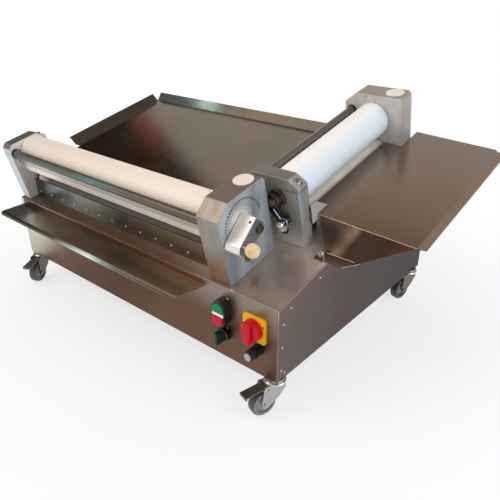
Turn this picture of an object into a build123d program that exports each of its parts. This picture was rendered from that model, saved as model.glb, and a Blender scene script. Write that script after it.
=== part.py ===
from build123d import *
from dataclasses import dataclass
from math import atan, cos, hypot, pi, radians, sin, sqrt, tan
import os

# Dough rolling machine: two pairs of rollers at right angles on a sloping cabinet, on four casters.
# Lengths are in millimetres and angles in degrees.
# Machine coordinates, used while modelling: X right, Y back, Z up from the cabinet's front left bottom
# corner. Deck coordinates: u right, v up the sloping top, w away from it; deck pieces are laid out flat
# and tilted afterwards. Station coordinates: s along the rollers, p across them toward the infeed side,
# measured from the roller axis, and w up from the deck.

# Rollers
FRONT_ROLLER_SPAN = 592.0
RIGHT_ROLLER_SPAN = 303.0
UPPER_ROLLER_RADIUS = 35.5
LOWER_ROLLER_RADIUS = 26.0
ROLLER_OPEN_GAP = 6.5
ROLLER_DECK_ROOM = 6.5
ROLLER_END_PLAY = 0.75
ROLLER_EDGE = 1.5
ROLLER_LAND = 30.0
ROLLER_RELIEF = 3.0
ECCENTRICITY = 2.5

# Shafts, bushes and fits
RUNNING_CLEARANCE = 0.05
BOLT_CLEARANCE = 0.3
FACE_CLEARANCE = 0.3
AXLE_CORE_RADIUS = 10.0
AXLE_JOURNAL_RADIUS = 15.0
AXLE_STUB_RADIUS = 9.0
AXLE_NUT_ACROSS = 13.0
AXLE_NUT_HEIGHT = 5.0
LOWER_JOURNAL_RADIUS = 10.0
LOWER_END_RADIUS = 7.0
LOWER_END_STAND = 3.0
BUSH_WALL = 4.0
BLIND_BORE = 24.0
BLIND_ROOM = 1.0
THICK_RECESS_ROOM = 2.5
THICK_RECESS_DEPTH = 4.0
ROLLER_INTO_RECESS = 2.0

# Blocks
THIN_BLOCK = 29.0
THIN_TOP_ROOM = 36.5
THICK_TOP_ROOM = 52.0
CAP_WALL = 2.0
CAP_SEAM = 1.2
THIN_OUTFEED_CHAMFER = (9.5, 9.0)
THIN_INFEED_CHAMFER = (21.0, 13.5)
THICK_OUTFEED_CHAMFER = (29.5, 21.0)
THICK_INFEED_CHAMFER = (5.0, 7.0)
BLOCK_EDGE = 0.7
PLUG_RADIUS = 18.5
PLUG_DEPTH = 6.0
PLUG_STAND = 1.5
PLUG_FROM_INFEED = 25.5

# Guard bars, scrapers and apron
BAR_RADIUS = 8.5
BAR_ABOVE_ROLLER_AXIS = 13.5
BAR_SEAT = 12.0
BAR_RING = 2.5
BAR_RING_DEPTH = 5.0
SCRAPER_SHEET = 2.0
SCRAPER_HEIGHT = 27.0
SCRAPER_RISE = 3.0
SCRAPER_GAP = 0.8
APRON_SHEET = 1.5
APRON_ABOVE_LOWER_AXIS = 8.5
APRON_LEAN = 8.0
APRON_GAP = 0.8

# Gap levers and index pins
LEVER_FACE_GAP = 1.0
LEVER_EDGE = 0.8
LEVER_BACK = 10.5
LEVER_NOSE = (8.5, 6.0)
LEVER_BOSS_WALL = 5.0
AXLE_COLLAR_RADIUS = 17.0
GRUB_RADIUS = 2.5
GRUB_FROM_OUTER_FACE = 6.0
INDEX_HOLE_RADIUS = 1.2
INDEX_HOLE_DEPTH = 5.0
PIN_RADIUS = 3.0
PIN_COLLAR_RADIUS = 4.5
PIN_COLLAR_GAP = 1.0

# Drive
GEAR_MODULE = 2.0
ROLLER_GEAR_TEETH = 24
MOTOR_GEAR_TEETH = 39
PRESSURE_ANGLE = 20.0
TOOTH_BACKLASH = 0.5
TOOTH_ROOT_FACTOR = 1.25
GEAR_WIDTH = 10.0
GEAR_SIDE_ROOM = 2.0
MOTOR_SHAFT_RADIUS = 7.5
MOTOR_SHAFT_SEAT = 30.0
GEARBOX_LENGTH = 60.0
GEARBOX_WIDTH = 80.0
GEARBOX_HEIGHT = 70.0
MOTOR_RADIUS = 33.0
MOTOR_LENGTH = 140.0
MOTOR_EDGE = 4.0
SLOT_ROOM = 2.5

# Cabinet
DECK_SLOPE = 13.2
FRONT_HEIGHT = 145.0
SHEET = 2.0
BASE_SHEET = 3.0
LEFT_INSET = 3.0
FRONT_INSET = 7.0
LEVER_SIDE_ROOM = 107.0
STATION_GAP = 25.0
RIGHT_AXIS_BEYOND_BLOCK = 3.5
BACK_ROOM = 37.0
VENT_COUNT = 9
VENT_SIZE = (8.0, 70.0)
VENT_PITCH = 22.0
VENT_HEIGHT = 150.0
SERVICE_OPENING = (140.0, 400.0)
SERVICE_FROM_CONTROLLER = 30.0

# Screws
SCREW_RADIUS = 4.0
SCREW_HEAD_RADIUS = 6.5
SCREW_HEAD_HEIGHT = 8.0
SCREW_SOCKET_ACROSS = 6.0
SCREW_SOCKET_DEPTH = 4.0
BLOCK_SCREW_DEPTH = 18.0
BLOCK_SCREW_EDGE = 14.0
CAP_SCREW_LENGTH = 36.0
CAP_SCREW_SINK = 5.0
CAP_SCREW_HOLE_ROOM = 0.8
FOOT_SCREW_LENGTH = 12.0
HEAD_SEAT_GAP = 0.05

# Table
TABLE_SHEET = 1.5
TABLE_BELOW_NIP = 13.5
TABLE_LEFT_OVERHANG = 17.0
TABLE_FLANGE_RISE = 17.0
TABLE_FLANGE_OUT = 17.0
TABLE_ROLLER_GAP = 2.0
TABLE_BLOCK_GAP = 4.0
TABLE_FLANGE_BEHIND_BLOCK = 91.0
TABLE_BACK_BEFORE_BLOCK = 1.0
TABLE_FOLD_OVERLAP = 10.0
TABLE_WALL_INSET = 18.0
TABLE_RAIL_WIDTH = 30.0
TABLE_RAIL_FROM_BACK = 30.0

# Infeed tray
TRAY_SHEET = 1.5
TRAY_SLOPE = 3.0
TRAY_BELOW_NIP = 4.5
TRAY_ROLLER_GAP = 2.0
TRAY_LENGTH = 212.2
TRAY_LIP = 17.0
TRAY_LIP_RISE = 11.0
TRAY_NEAR_GAP = 11.5
TRAY_FAR_BEYOND_BLOCK = 22.5
TRAY_BLOCK_GAP = 3.5
TRAY_CORNER_CUT = 8.0
TRAY_WALL_INSET = 20.0
SKIRT_TOP = (26.0, 211.0)
SKIRT_BOTTOM = (63.0, 116.0)
SKIRT_OUT = 35.0
FOOT_FROM_DECK_EDGE = 28.0
FOOT_LENGTH = 77.0
FOOT_WIDTH = 21.0
FOOT_SCREW_INSET = 18.0
FOOT_SCREW_OUT = 12.0
GUSSET_ABOVE_TRAY = 26.0
GUSSET_BELOW_TRAY = 14.0
GUSSET_LENGTH = 49.0
GUSSET_FLAT = 16.0
GUSSET_BLOCK_GAP = 4.0

# Catch tray
CATCH_SHEET = 1.5
CATCH_DEPTH = 60.0
CATCH_BELOW_DECK = 14.0
CATCH_FLANGE = 12.0
CATCH_FALL = 2.0
CATCH_LIP = 7.0
CATCH_BEND = 6.5
CATCH_LEFT_BEYOND_SPAN = 20.0
CATCH_RIGHT_SHORT = 10.0
CATCH_TAPER = 9.0

# Controls on the front panel, placed from the cabinet's right end and from the panel's top edge
BUTTON_COLUMN = 117.5
SWITCH_COLUMN = 47.5
SPEED_COLUMN = 42.0
BUTTONS_BELOW_DECK = 45.5
SELECTOR_BELOW_DECK = 94.0
SWITCH_BELOW_DECK = 51.5
SPEED_BELOW_DECK = 94.0
BUTTON_BODY_WIDTH = 30.0
BUTTON_BODY_HEIGHT = 53.0
BUTTON_BODY_DEPTH = 17.5
BUTTON_FLOOR = 3.0
BUTTON_WIDTH = 25.0
BUTTON_FACE_HEIGHT = 43.5
BUTTON_OFFSET = 12.5
START_STAND = 3.0
STOP_STAND = 4.5
BUTTON_TRAVEL = 3.0
BUTTON_STOP_ROOM = 0.5
BUTTON_SIDE_ROOM = 0.4
BUTTON_EDGE = 1.2
BUTTON_WALL = 1.6
LENS_HEIGHT = 6.0
LENS_STAND = 1.5
STEM_RADIUS = 4.0
STEM_DEPTH = 20.0
PANEL_HOLE_ROOM = 1.0
SELECTOR_SKIRT_RADIUS = 14.0
SELECTOR_SKIRT_DEPTH = 10.0
SELECTOR_GRIP = (8.0, 18.0, 23.0)
SWITCH_PLATE = 48.0
SWITCH_PLATE_DEPTH = 5.0
SWITCH_PLATE_CORNER = 4.0
SWITCH_DISC_RADIUS = 20.0
SWITCH_DISC_DEPTH = 14.0
SWITCH_GRIP = (13.0, 8.0, 41.0)
GRIP_EDGE = 3.0
SPEED_SKIRT_RADIUS = 11.5
SPEED_SKIRT_DEPTH = 4.0
SPEED_KNOB_RADIUS = 9.3
SPEED_KNOB_DEPTH = 24.0
SWITCH_BODY_DEPTH = 34.0
SWITCH_BODY_SIDE = 28.0
CONTROLLER_SIZE = (110.0, 90.0, 50.0)
CONTROLLER_FIN = (4.0, 12.0)
CONTROLLER_FIN_COUNT = 7
GLAND_BORE = 5.0
GLAND_NECK_RADIUS = 10.0
GLAND_HEX_ACROSS = 24.0
GLAND_HEX_DEPTH = 6.0
GLAND_DOME_RADIUS = 9.5
GLAND_DOME_DEPTH = 12.0
GLAND_NUT_DEPTH = 5.0
GLAND_FROM_RIGHT = 70.0
GLAND_HEIGHT = 45.0

# Casters
CASTER_INSET = 15.0
BACK_CASTER_SIDE_INSET = 12.0
BACK_CASTER_INSET = 25.0
CASTER_HEAD_RADIUS = 17.0
CASTER_FLANGE = 4.0
CASTER_PIN_RADIUS = 6.0
CASTER_RETAINER_RADIUS = 8.5
CASTER_RETAINER = 2.0
CASTER_STEM_RADIUS = 5.0
CASTER_NUT_ACROSS = 16.0
CASTER_NUT_HEIGHT = 6.0
FORK_CROWN = 8.4
FORK_LEG = 2.5
FORK_WHEEL_ROOM = 1.2
CASTER_TRAIL = 27.0
WHEEL_RADIUS = 25.0
WHEEL_WIDTH = 18.0
WHEEL_TOP_ROOM = 20.5
WHEEL_EDGE = 4.0
WHEEL_DISH_DEPTH = 3.0
WHEEL_DISH_OUTER = 18.0
WHEEL_DISH_INNER = 9.0
WHEEL_AXLE_RADIUS = 4.0
AXLE_HEAD_STAND = 2.0
PEDAL_PIVOT_BACK = 22.5
PEDAL_PIVOT_DROP = 14.0
PEDAL_TILT = 6.0
PEDAL_PIN_RADIUS = 2.0
PEDAL_LENGTH = 44.0
PEDAL_SHEET = 3.0
PEDAL_HUB_RADIUS = 4.0
PEDAL_LIP = 6.0
FRONT_LEFT_TURN = 26.0
FRONT_RIGHT_TURN = -18.0
BACK_CASTER_TURN = 10.0


@dataclass
class Station:
    """One pair of rollers: where it stands on the deck and how it differs from the other pair."""

    span: float
    start: float
    thick: float
    bar_clearance: float
    face_beyond_bar: float
    thin_infeed: float
    thick_infeed: float
    lever_at_high_end: bool
    lever_stand: float
    lever_width: float
    hub_radius: float
    bar_angle: float
    bar_rise: float
    bar_reach: float
    bar_depth: float
    tapered: bool
    index_radius: float
    index_pitch: float
    lever_angle: float
    lever_sweep: float
    knob_radius: float
    knob_stand: float

    @property
    def low_inner(self):
        return self.start + THIN_BLOCK

    @property
    def high_inner(self):
        return self.low_inner + self.span

    @property
    def high_outer(self):
        return self.high_inner + self.thick

    @property
    def bar_p(self):
        reach = UPPER_ROLLER_RADIUS + ECCENTRICITY + BAR_RADIUS + self.bar_clearance
        return -sqrt(reach**2 - (BAR_W - PIVOT_W) ** 2)

    @property
    def outfeed_p(self):
        return self.bar_p - self.face_beyond_bar

    @property
    def lever_face(self):
        """Outer face of the block that carries the gap lever."""
        return self.high_outer if self.lever_at_high_end else self.start

    @property
    def outward(self):
        """Direction along s that points away from the rollers at the lever's end."""
        return 1 if self.lever_at_high_end else -1


# Heights above the deck that follow from the rollers
LOWER_AXIS_W = ROLLER_DECK_ROOM + LOWER_ROLLER_RADIUS
NIP_W = LOWER_AXIS_W + LOWER_ROLLER_RADIUS
UPPER_AXIS_W = NIP_W + ROLLER_OPEN_GAP + UPPER_ROLLER_RADIUS
PIVOT_W = UPPER_AXIS_W - ECCENTRICITY
BAR_W = UPPER_AXIS_W + BAR_ABOVE_ROLLER_AXIS
SPLIT_W = PIVOT_W + AXLE_JOURNAL_RADIUS + CAP_WALL
THIN_TOP_W = UPPER_AXIS_W + THIN_TOP_ROOM
THICK_TOP_W = UPPER_AXIS_W + THICK_TOP_ROOM
TABLE_W = NIP_W - TABLE_BELOW_NIP
GEAR_ROOM = GEAR_WIDTH + 2 * GEAR_SIDE_ROOM
MOTOR_AXIS_W = LOWER_AXIS_W - GEAR_MODULE * (ROLLER_GEAR_TEETH + MOTOR_GEAR_TEETH) / 2
MOTOR_GEAR_TIP = GEAR_MODULE * (MOTOR_GEAR_TEETH / 2 + 1)

FRONT = Station(
    span=FRONT_ROLLER_SPAN,
    start=LEFT_INSET,
    thick=49.0,
    bar_clearance=0.5,
    face_beyond_bar=12.13,
    thin_infeed=39.0,
    thick_infeed=67.5,
    lever_at_high_end=True,
    lever_stand=LEVER_FACE_GAP,
    lever_width=32.0,
    hub_radius=14.0,
    bar_angle=212.0,
    bar_rise=21.0,
    bar_reach=55.0,
    bar_depth=18.5,
    tapered=True,
    index_radius=44.0,
    index_pitch=7.2,
    lever_angle=192.0,
    lever_sweep=-186.0,
    knob_radius=12.5,
    knob_stand=20.0,
)
FRONT_AXIS_V = FRONT_INSET - FRONT.outfeed_p

RIGHT = Station(
    span=RIGHT_ROLLER_SPAN,
    start=FRONT_AXIS_V + FRONT.thick_infeed + STATION_GAP,
    thick=45.0,
    bar_clearance=6.5,
    face_beyond_bar=15.05,
    thin_infeed=44.5,
    thick_infeed=62.5,
    lever_at_high_end=False,
    lever_stand=8.0,
    lever_width=11.0,
    hub_radius=14.0,
    bar_angle=-52.0,
    bar_rise=19.0,
    bar_reach=48.0,
    bar_depth=11.0,
    tapered=False,
    index_radius=41.5,
    index_pitch=23.0,
    lever_angle=-61.0,
    lever_sweep=138.0,
    knob_radius=7.0,
    knob_stand=10.0,
)

# Cabinet outline that follows from the stations
CABINET_WIDTH = FRONT.high_outer + LEVER_SIDE_ROOM
RIGHT_AXIS_U = FRONT.high_outer + RIGHT_AXIS_BEYOND_BLOCK
DECK_LENGTH = RIGHT.high_outer + BACK_ROOM
CABINET_DEPTH = DECK_LENGTH * cos(radians(DECK_SLOPE))
BACK_HEIGHT = FRONT_HEIGHT + DECK_LENGTH * sin(radians(DECK_SLOPE))
DECK_TILT = Pos(0, 0, FRONT_HEIGHT) * Rot(DECK_SLOPE, 0, 0)
SWAP_U_AND_V = Plane(origin=(0, 0, 0), z_dir=(1, -1, 0))


def box(x_range, y_range, z_range):
    """Box between two corners."""
    size = [high - low for low, high in (x_range, y_range, z_range)]
    middle = [(high + low) / 2 for low, high in (x_range, y_range, z_range)]
    return Pos(*middle) * Box(*size)


def rod_x(radius, x0, x1, y, z):
    return Pos((x0 + x1) / 2, y, z) * Rot(0, 90, 0) * Cylinder(radius, abs(x1 - x0))


def rod_y(radius, x, y0, y1, z):
    return Pos(x, (y0 + y1) / 2, z) * Rot(90, 0, 0) * Cylinder(radius, abs(y1 - y0))


def rod_z(radius, x, y, z0, z1):
    return Pos(x, y, (z0 + z1) / 2) * Cylinder(radius, abs(z1 - z0))


def prism_x(points, x0, x1):
    """Outline in (y, z) drawn out along X."""
    outline = make_face(Polyline(*points, close=True))
    return extrude(Plane.YZ.offset(x0) * outline, amount=x1 - x0, dir=(1, 0, 0))


def prism_y(points, y0, y1):
    """Outline in (x, z) drawn out along Y."""
    outline = make_face(Polyline(*points, close=True))
    return extrude(Plane.XZ.offset(-y0) * outline, amount=y1 - y0, dir=(0, 1, 0))


def prism_z(points, z0, z1):
    """Outline in (x, y) drawn out along Z."""
    outline = make_face(Polyline(*points, close=True))
    return extrude(Pos(0, 0, z0) * outline, amount=z1 - z0, dir=(0, 0, 1))


def parallel_path(path, distance):
    """Copy of a path at a distance on its left, or right if negative."""
    normals = []
    for (a0, b0), (a1, b1) in zip(path, path[1:]):
        length = hypot(a1 - a0, b1 - b0)
        normals.append(((b0 - b1) / length, (a1 - a0) / length))
    before = [normals[0]] + normals
    after = normals + [normals[-1]]
    shifted = []
    for (a, b), (na, nb), (ma, mb) in zip(path, before, after):
        share = distance / (1 + na * ma + nb * mb)
        shifted.append((a + share * (na + ma), b + share * (nb + mb)))
    return shifted


def sheet_outline(path, thickness):
    """Outline of a bent sheet: the path and a parallel copy on its left, or right if negative."""
    return path + parallel_path(path, thickness)[::-1]


def hexagon_y(across, x, y0, y1, z):
    flat = RegularPolygon(across / 2, 6, major_radius=False)
    return extrude(Plane.XZ.offset(-y0) * Pos(x, z) * flat, amount=y1 - y0, dir=(0, 1, 0))


def group(shapes):
    """Several pieces as one node of separate solids."""
    return Compound([solid for shape in shapes for solid in shape.solids()])


def socket_screw(length):
    """Socket head screw along Z: head from 0 up, shank down."""
    head = rod_z(SCREW_HEAD_RADIUS, 0, 0, 0, SCREW_HEAD_HEIGHT)
    socket = extrude(RegularPolygon(SCREW_SOCKET_ACROSS / 2, 6, major_radius=False), SCREW_SOCKET_DEPTH)
    shank = rod_z(SCREW_RADIUS, 0, 0, -length, 0)
    return head + shank - Pos(0, 0, SCREW_HEAD_HEIGHT - SCREW_SOCKET_DEPTH) * socket


def on_front(shape):
    """Front station coordinates to machine coordinates."""
    return DECK_TILT * Pos(0, FRONT_AXIS_V, 0) * shape


def on_right(shape):
    """Right station coordinates to machine coordinates, where u and v change places."""
    return DECK_TILT * Pos(RIGHT_AXIS_U, 0, 0) * mirror(shape, SWAP_U_AND_V)


def chamfered_outline(outfeed, infeed, top, outfeed_cut, infeed_cut):
    return [
        (outfeed, 0),
        (infeed, 0),
        (infeed, top - infeed_cut[1]),
        (infeed - infeed_cut[0], top),
        (outfeed + outfeed_cut[0], top),
        (outfeed, top - outfeed_cut[1]),
    ]


def block_screw_places(station):
    """Station places (s, p) of the screws that hold the two blocks to the deck from below."""
    places = []
    ends = (
        (station.start + THIN_BLOCK / 2, station.thin_infeed),
        (station.high_inner + station.thick / 2, station.thick_infeed),
    )
    for s, infeed in ends:
        places.append((s, station.outfeed_p + BLOCK_SCREW_EDGE))
        places.append((s, infeed - BLOCK_SCREW_EDGE))
    return places


def cap_screw_place(station):
    """Station place (s, p, w of the head's seat) of the screw in the cap's infeed chamfer."""
    p = station.thin_infeed - THIN_INFEED_CHAMFER[0] / 2
    chamfer_w = THIN_TOP_W - THIN_INFEED_CHAMFER[1] / 2
    return station.start + THIN_BLOCK / 2, p, chamfer_w - CAP_SCREW_SINK - SCREW_HEAD_HEIGHT / 2


def station_screws(station):
    screws = []
    for s, p in block_screw_places(station):
        screw = socket_screw(BLOCK_SCREW_DEPTH + SHEET)
        screws.append(Pos(s, p, -SHEET - HEAD_SEAT_GAP) * Rot(180, 0, 0) * screw)
    s, p, seat = cap_screw_place(station)
    screws.append(Pos(s, p, seat) * socket_screw(CAP_SCREW_LENGTH))
    return screws


def index_angles(station):
    count = round(abs(station.lever_sweep) / station.index_pitch)
    return [station.lever_angle + station.lever_sweep * step / count for step in range(count + 1)]


def index_holes(station):
    """Cutters for the ring of holes that the index pin drops into."""
    face = station.lever_face
    holes = []
    for angle in index_angles(station):
        p = station.index_radius * cos(radians(angle))
        w = PIVOT_W + station.index_radius * sin(radians(angle))
        inner = face - station.outward * INDEX_HOLE_DEPTH
        holes.append(rod_x(INDEX_HOLE_RADIUS, inner, face, p, w))
    return holes


def bore_depths(station, high_end):
    """How far the shaft bores go from the inner face: right through at the lever's end, else blind."""
    thickness = station.thick if high_end else THIN_BLOCK
    return thickness if high_end == station.lever_at_high_end else BLIND_BORE


def block_bores(station, high_end):
    """Cutters for the axle journal, the bush and the guard bar in one block."""
    inner = station.high_inner if high_end else station.low_inner
    way = 1 if high_end else -1
    deep = inner + way * bore_depths(station, high_end)
    return [
        rod_x(AXLE_JOURNAL_RADIUS + RUNNING_CLEARANCE, inner, deep, 0, PIVOT_W),
        rod_x(LOWER_JOURNAL_RADIUS + BUSH_WALL, inner, deep, 0, LOWER_AXIS_W),
        rod_x(BAR_RADIUS, inner, inner + way * BAR_SEAT, station.bar_p, BAR_W),
        rod_x(BAR_RADIUS + BAR_RING, inner, inner + way * BAR_RING_DEPTH, station.bar_p, BAR_W),
    ]


def block_screw_holes(station):
    return [rod_z(SCREW_RADIUS, s, p, 0, BLOCK_SCREW_DEPTH) for s, p in block_screw_places(station)]


def thin_block(station):
    """Small block and its cap, split just above the axle journal with a groove round the seam."""
    outline = chamfered_outline(
        station.outfeed_p, station.thin_infeed, THIN_TOP_W, THIN_OUTFEED_CHAMFER, THIN_INFEED_CHAMFER
    )
    whole = prism_x(outline, station.start, station.low_inner)
    whole = chamfer(whole.edges(), BLOCK_EDGE)
    s, p, seat = cap_screw_place(station)
    cutters = block_bores(station, False) + block_screw_holes(station)
    cutters.append(rod_z(SCREW_RADIUS, s, p, seat - CAP_SCREW_LENGTH, seat))
    cutters.append(rod_z(SCREW_HEAD_RADIUS + CAP_SCREW_HOLE_ROOM, s, p, seat, THIN_TOP_W))
    if not station.lever_at_high_end:
        cutters += index_holes(station)
    whole = whole - cutters
    s_range = (station.start, station.low_inner)
    p_range = (station.outfeed_p, station.thin_infeed)
    above = box(s_range, p_range, (SPLIT_W, THIN_TOP_W))
    seam = (SPLIT_W, SPLIT_W + CAP_SEAM)
    inside = [(low + CAP_SEAM, high - CAP_SEAM) for low, high in (s_range, p_range)]
    groove = box(s_range, p_range, seam) - box(*inside, seam)
    return whole - above, (whole & above) - groove


def plug_place(station):
    return station.high_inner + station.thick / 2, station.thick_infeed - PLUG_FROM_INFEED


def thick_block(station):
    """Large block in one piece, with a plug hole in its top and a recess for the lower roller's end."""
    outline = chamfered_outline(
        station.outfeed_p, station.thick_infeed, THICK_TOP_W, THICK_OUTFEED_CHAMFER, THICK_INFEED_CHAMFER
    )
    whole = prism_x(outline, station.high_inner, station.high_outer)
    whole = chamfer(whole.edges(), BLOCK_EDGE)
    inner = station.high_inner
    recess = LOWER_ROLLER_RADIUS + THICK_RECESS_ROOM
    cutters = block_bores(station, True) + block_screw_holes(station)
    cutters.append(rod_x(recess, inner, inner + THICK_RECESS_DEPTH, 0, LOWER_AXIS_W))
    s, p = plug_place(station)
    cutters.append(rod_z(PLUG_RADIUS, s, p, THICK_TOP_W + PLUG_STAND - PLUG_DEPTH, THICK_TOP_W))
    if station.lever_at_high_end:
        cutters += index_holes(station)
    return whole - cutters


def plug(station):
    s, p = plug_place(station)
    disc = rod_z(PLUG_RADIUS, s, p, THICK_TOP_W + PLUG_STAND - PLUG_DEPTH, THICK_TOP_W + PLUG_STAND)
    return chamfer(disc.edges().group_by(Axis.Z)[-1], PLUG_STAND / 2)


def bushes(station):
    """Bushes of the lower roller, one in each block."""
    made = []
    ends = ((False, station.low_inner, -1, 0), (True, station.high_inner, 1, THICK_RECESS_DEPTH))
    for high_end, inner, way, start in ends:
        near = inner + way * start
        far = inner + way * bore_depths(station, high_end)
        tube = rod_x(LOWER_JOURNAL_RADIUS + BUSH_WALL, near, far, 0, LOWER_AXIS_W)
        made.append(tube - rod_x(LOWER_JOURNAL_RADIUS + RUNNING_CLEARANCE, near, far, 0, LOWER_AXIS_W))
    return made


def guard_bar(station):
    return rod_x(
        BAR_RADIUS, station.low_inner - BAR_SEAT, station.high_inner + BAR_SEAT, station.bar_p, BAR_W
    )


def upper_scraper(station):
    """Bent strip under the guard bar whose blade stops just short of the upper roller."""
    top = BAR_W - BAR_RADIUS - FACE_CLEARANCE
    low = top - SCRAPER_HEIGHT
    tip_w = low + SCRAPER_RISE
    reach = UPPER_ROLLER_RADIUS + ECCENTRICITY + SCRAPER_GAP
    tip_p = -sqrt(reach**2 - (PIVOT_W - tip_w - SCRAPER_SHEET) ** 2)
    path = [(station.bar_p, top), (station.bar_p, low), (tip_p, tip_w)]
    return prism_x(sheet_outline(path, SCRAPER_SHEET), station.low_inner, station.high_inner)


def front_apron(station):
    """Steep sheet from the deck up to the lower roller, which it scrapes with its upper edge."""
    top_w = LOWER_AXIS_W + APRON_ABOVE_LOWER_AXIS
    reach = LOWER_ROLLER_RADIUS + APRON_GAP
    back = -sqrt(reach**2 - APRON_ABOVE_LOWER_AXIS**2)
    outline = [
        (back - APRON_LEAN, 0),
        (back, top_w),
        (back - APRON_SHEET, top_w),
        (back - APRON_LEAN - APRON_SHEET, 0),
    ]
    return prism_x(outline, station.low_inner, station.high_inner)


def upper_roller(station):
    """Plain tube that runs on the axle's core on a land at each end."""
    low = station.low_inner + ROLLER_END_PLAY
    high = station.high_inner - ROLLER_END_PLAY
    tube = rod_x(UPPER_ROLLER_RADIUS, low, high, 0, UPPER_AXIS_W)
    tube = chamfer(tube.edges(), ROLLER_EDGE)
    bore = rod_x(AXLE_CORE_RADIUS + RUNNING_CLEARANCE, low, high, 0, UPPER_AXIS_W)
    relief = rod_x(AXLE_CORE_RADIUS + ROLLER_RELIEF, low + ROLLER_LAND, high - ROLLER_LAND, 0, UPPER_AXIS_W)
    return tube - bore - relief


def axle(station):
    """Eccentric axle: a core for the roller, journals that turn in the blocks, a stub for the lever."""
    low = station.low_inner - bore_depths(station, False)
    high = station.high_inner + bore_depths(station, True)
    if station.lever_at_high_end:
        low += BLIND_ROOM
    else:
        high -= BLIND_ROOM
    whole = rod_x(AXLE_CORE_RADIUS, station.low_inner, station.high_inner, 0, UPPER_AXIS_W)
    whole += rod_x(AXLE_JOURNAL_RADIUS, low, station.low_inner, 0, PIVOT_W)
    whole += rod_x(AXLE_JOURNAL_RADIUS, station.high_inner, high, 0, PIVOT_W)
    face = station.lever_face
    lever_inner, stub_end = lever_faces(station)
    whole += rod_x(AXLE_STUB_RADIUS, min(face, stub_end), max(face, stub_end), 0, PIVOT_W)
    if station.lever_stand > LEVER_FACE_GAP:
        collar = face + station.outward * LEVER_FACE_GAP
        whole += rod_x(AXLE_COLLAR_RADIUS, min(collar, lever_inner), max(collar, lever_inner), 0, PIVOT_W)
    nut_end = stub_end + station.outward * AXLE_NUT_HEIGHT
    flat = RegularPolygon(AXLE_NUT_ACROSS / 2, 6, major_radius=False)
    nut = Plane.YZ.offset(min(stub_end, nut_end)) * Pos(0, PIVOT_W) * flat
    return whole + extrude(nut, amount=AXLE_NUT_HEIGHT, dir=(1, 0, 0))


def pin_place(station):
    """Station place (p, w) of the index pin at rest."""
    angle = radians(station.lever_angle)
    return station.index_radius * cos(angle), PIVOT_W + station.index_radius * sin(angle)


def lever_faces(station):
    """Inner and outer face of the lever along s."""
    inner = station.lever_face + station.outward * station.lever_stand
    return inner, inner + station.outward * station.lever_width


def lever_outline(station):
    """Bar with one flat side and a cut nose, run into the round hub or set beside it with a pin boss."""
    hub = Circle(station.hub_radius)
    rise, reach, low = station.bar_rise, station.bar_reach, station.bar_depth - station.bar_rise
    back, nose, drop = LEVER_BACK, *LEVER_NOSE
    corners = [(-back, -rise), (reach - nose, -rise), (reach, drop - rise), (reach, low), (-back, low)]
    bar = Polygon(*corners, align=None)
    if station.tapered:
        return make_hull(hub.edges() + bar.edges())
    pin_angle = radians(station.lever_angle - station.bar_angle)
    pin_spot = Pos(station.index_radius * cos(pin_angle), station.index_radius * sin(pin_angle))
    return hub + bar + pin_spot * Circle(PIN_RADIUS + LEVER_BOSS_WALL)


def lever(station):
    """Lever with broken edges, held on the axle by a grub screw."""
    inner, outer = lever_faces(station)
    pin_p, pin_w = pin_place(station)
    outline = Pos(0, PIVOT_W) * Rot(0, 0, station.bar_angle) * lever_outline(station)
    low = min(inner, outer)
    arm = extrude(Plane.YZ.offset(low) * outline, amount=station.lever_width, dir=(1, 0, 0))
    if station.tapered:
        broken = arm.edges().filter_by(GeomType.LINE)
    else:
        broken = arm.faces().sort_by(Axis.X)[0].edges()
    arm = chamfer(broken, LEVER_EDGE)
    high = low + station.lever_width
    arm -= rod_x(AXLE_STUB_RADIUS, low, high, 0, PIVOT_W)
    arm -= rod_x(PIN_RADIUS + RUNNING_CLEARANCE, low, high, pin_p, pin_w)
    grub_s = outer - station.outward * GRUB_FROM_OUTER_FACE
    grub = Rot(station.bar_angle - 180, 0, 0) * rod_z(GRUB_RADIUS, 0, 0, 0, station.bar_rise)
    return arm - Pos(grub_s, 0, PIVOT_W) * grub


def index_pin(station):
    """Round-nosed pin through the lever's tip, with a collar and a ball knob."""
    out = station.outward
    pin_p, pin_w = pin_place(station)
    nose = station.lever_face + out * (FACE_CLEARANCE + PIN_RADIUS)
    lever_outer = lever_faces(station)[1]
    knob = lever_outer + out * station.knob_stand
    collar = lever_outer + out * PIN_COLLAR_GAP
    pin = rod_x(PIN_RADIUS, min(nose, knob), max(nose, knob), pin_p, pin_w)
    pin += rod_x(PIN_COLLAR_RADIUS, min(collar, knob), max(collar, knob), pin_p, pin_w)
    pin += Pos(nose, pin_p, pin_w) * Sphere(PIN_RADIUS)
    return pin + Pos(knob, pin_p, pin_w) * Sphere(station.knob_radius)


def lower_roller(station):
    """Driven roller with its journals; the journal at the lever's end passes through and shows."""
    low = station.low_inner + GEAR_ROOM
    high = station.high_inner + ROLLER_INTO_RECESS
    body = rod_x(LOWER_ROLLER_RADIUS, low, high, 0, LOWER_AXIS_W)
    body = chamfer(body.edges(), ROLLER_EDGE)
    low_end = station.low_inner - bore_depths(station, False)
    high_end = station.high_inner + bore_depths(station, True)
    if station.lever_at_high_end:
        low_end += BLIND_ROOM
    else:
        high_end -= BLIND_ROOM
    body += rod_x(LOWER_JOURNAL_RADIUS, low_end, high_end, 0, LOWER_AXIS_W)
    face = station.lever_face
    dome = face + station.outward * LOWER_END_STAND
    body += rod_x(LOWER_END_RADIUS, min(face, dome), max(face, dome), 0, LOWER_AXIS_W)
    return body + Pos(dome, 0, LOWER_AXIS_W) * Sphere(LOWER_END_RADIUS)


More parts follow.
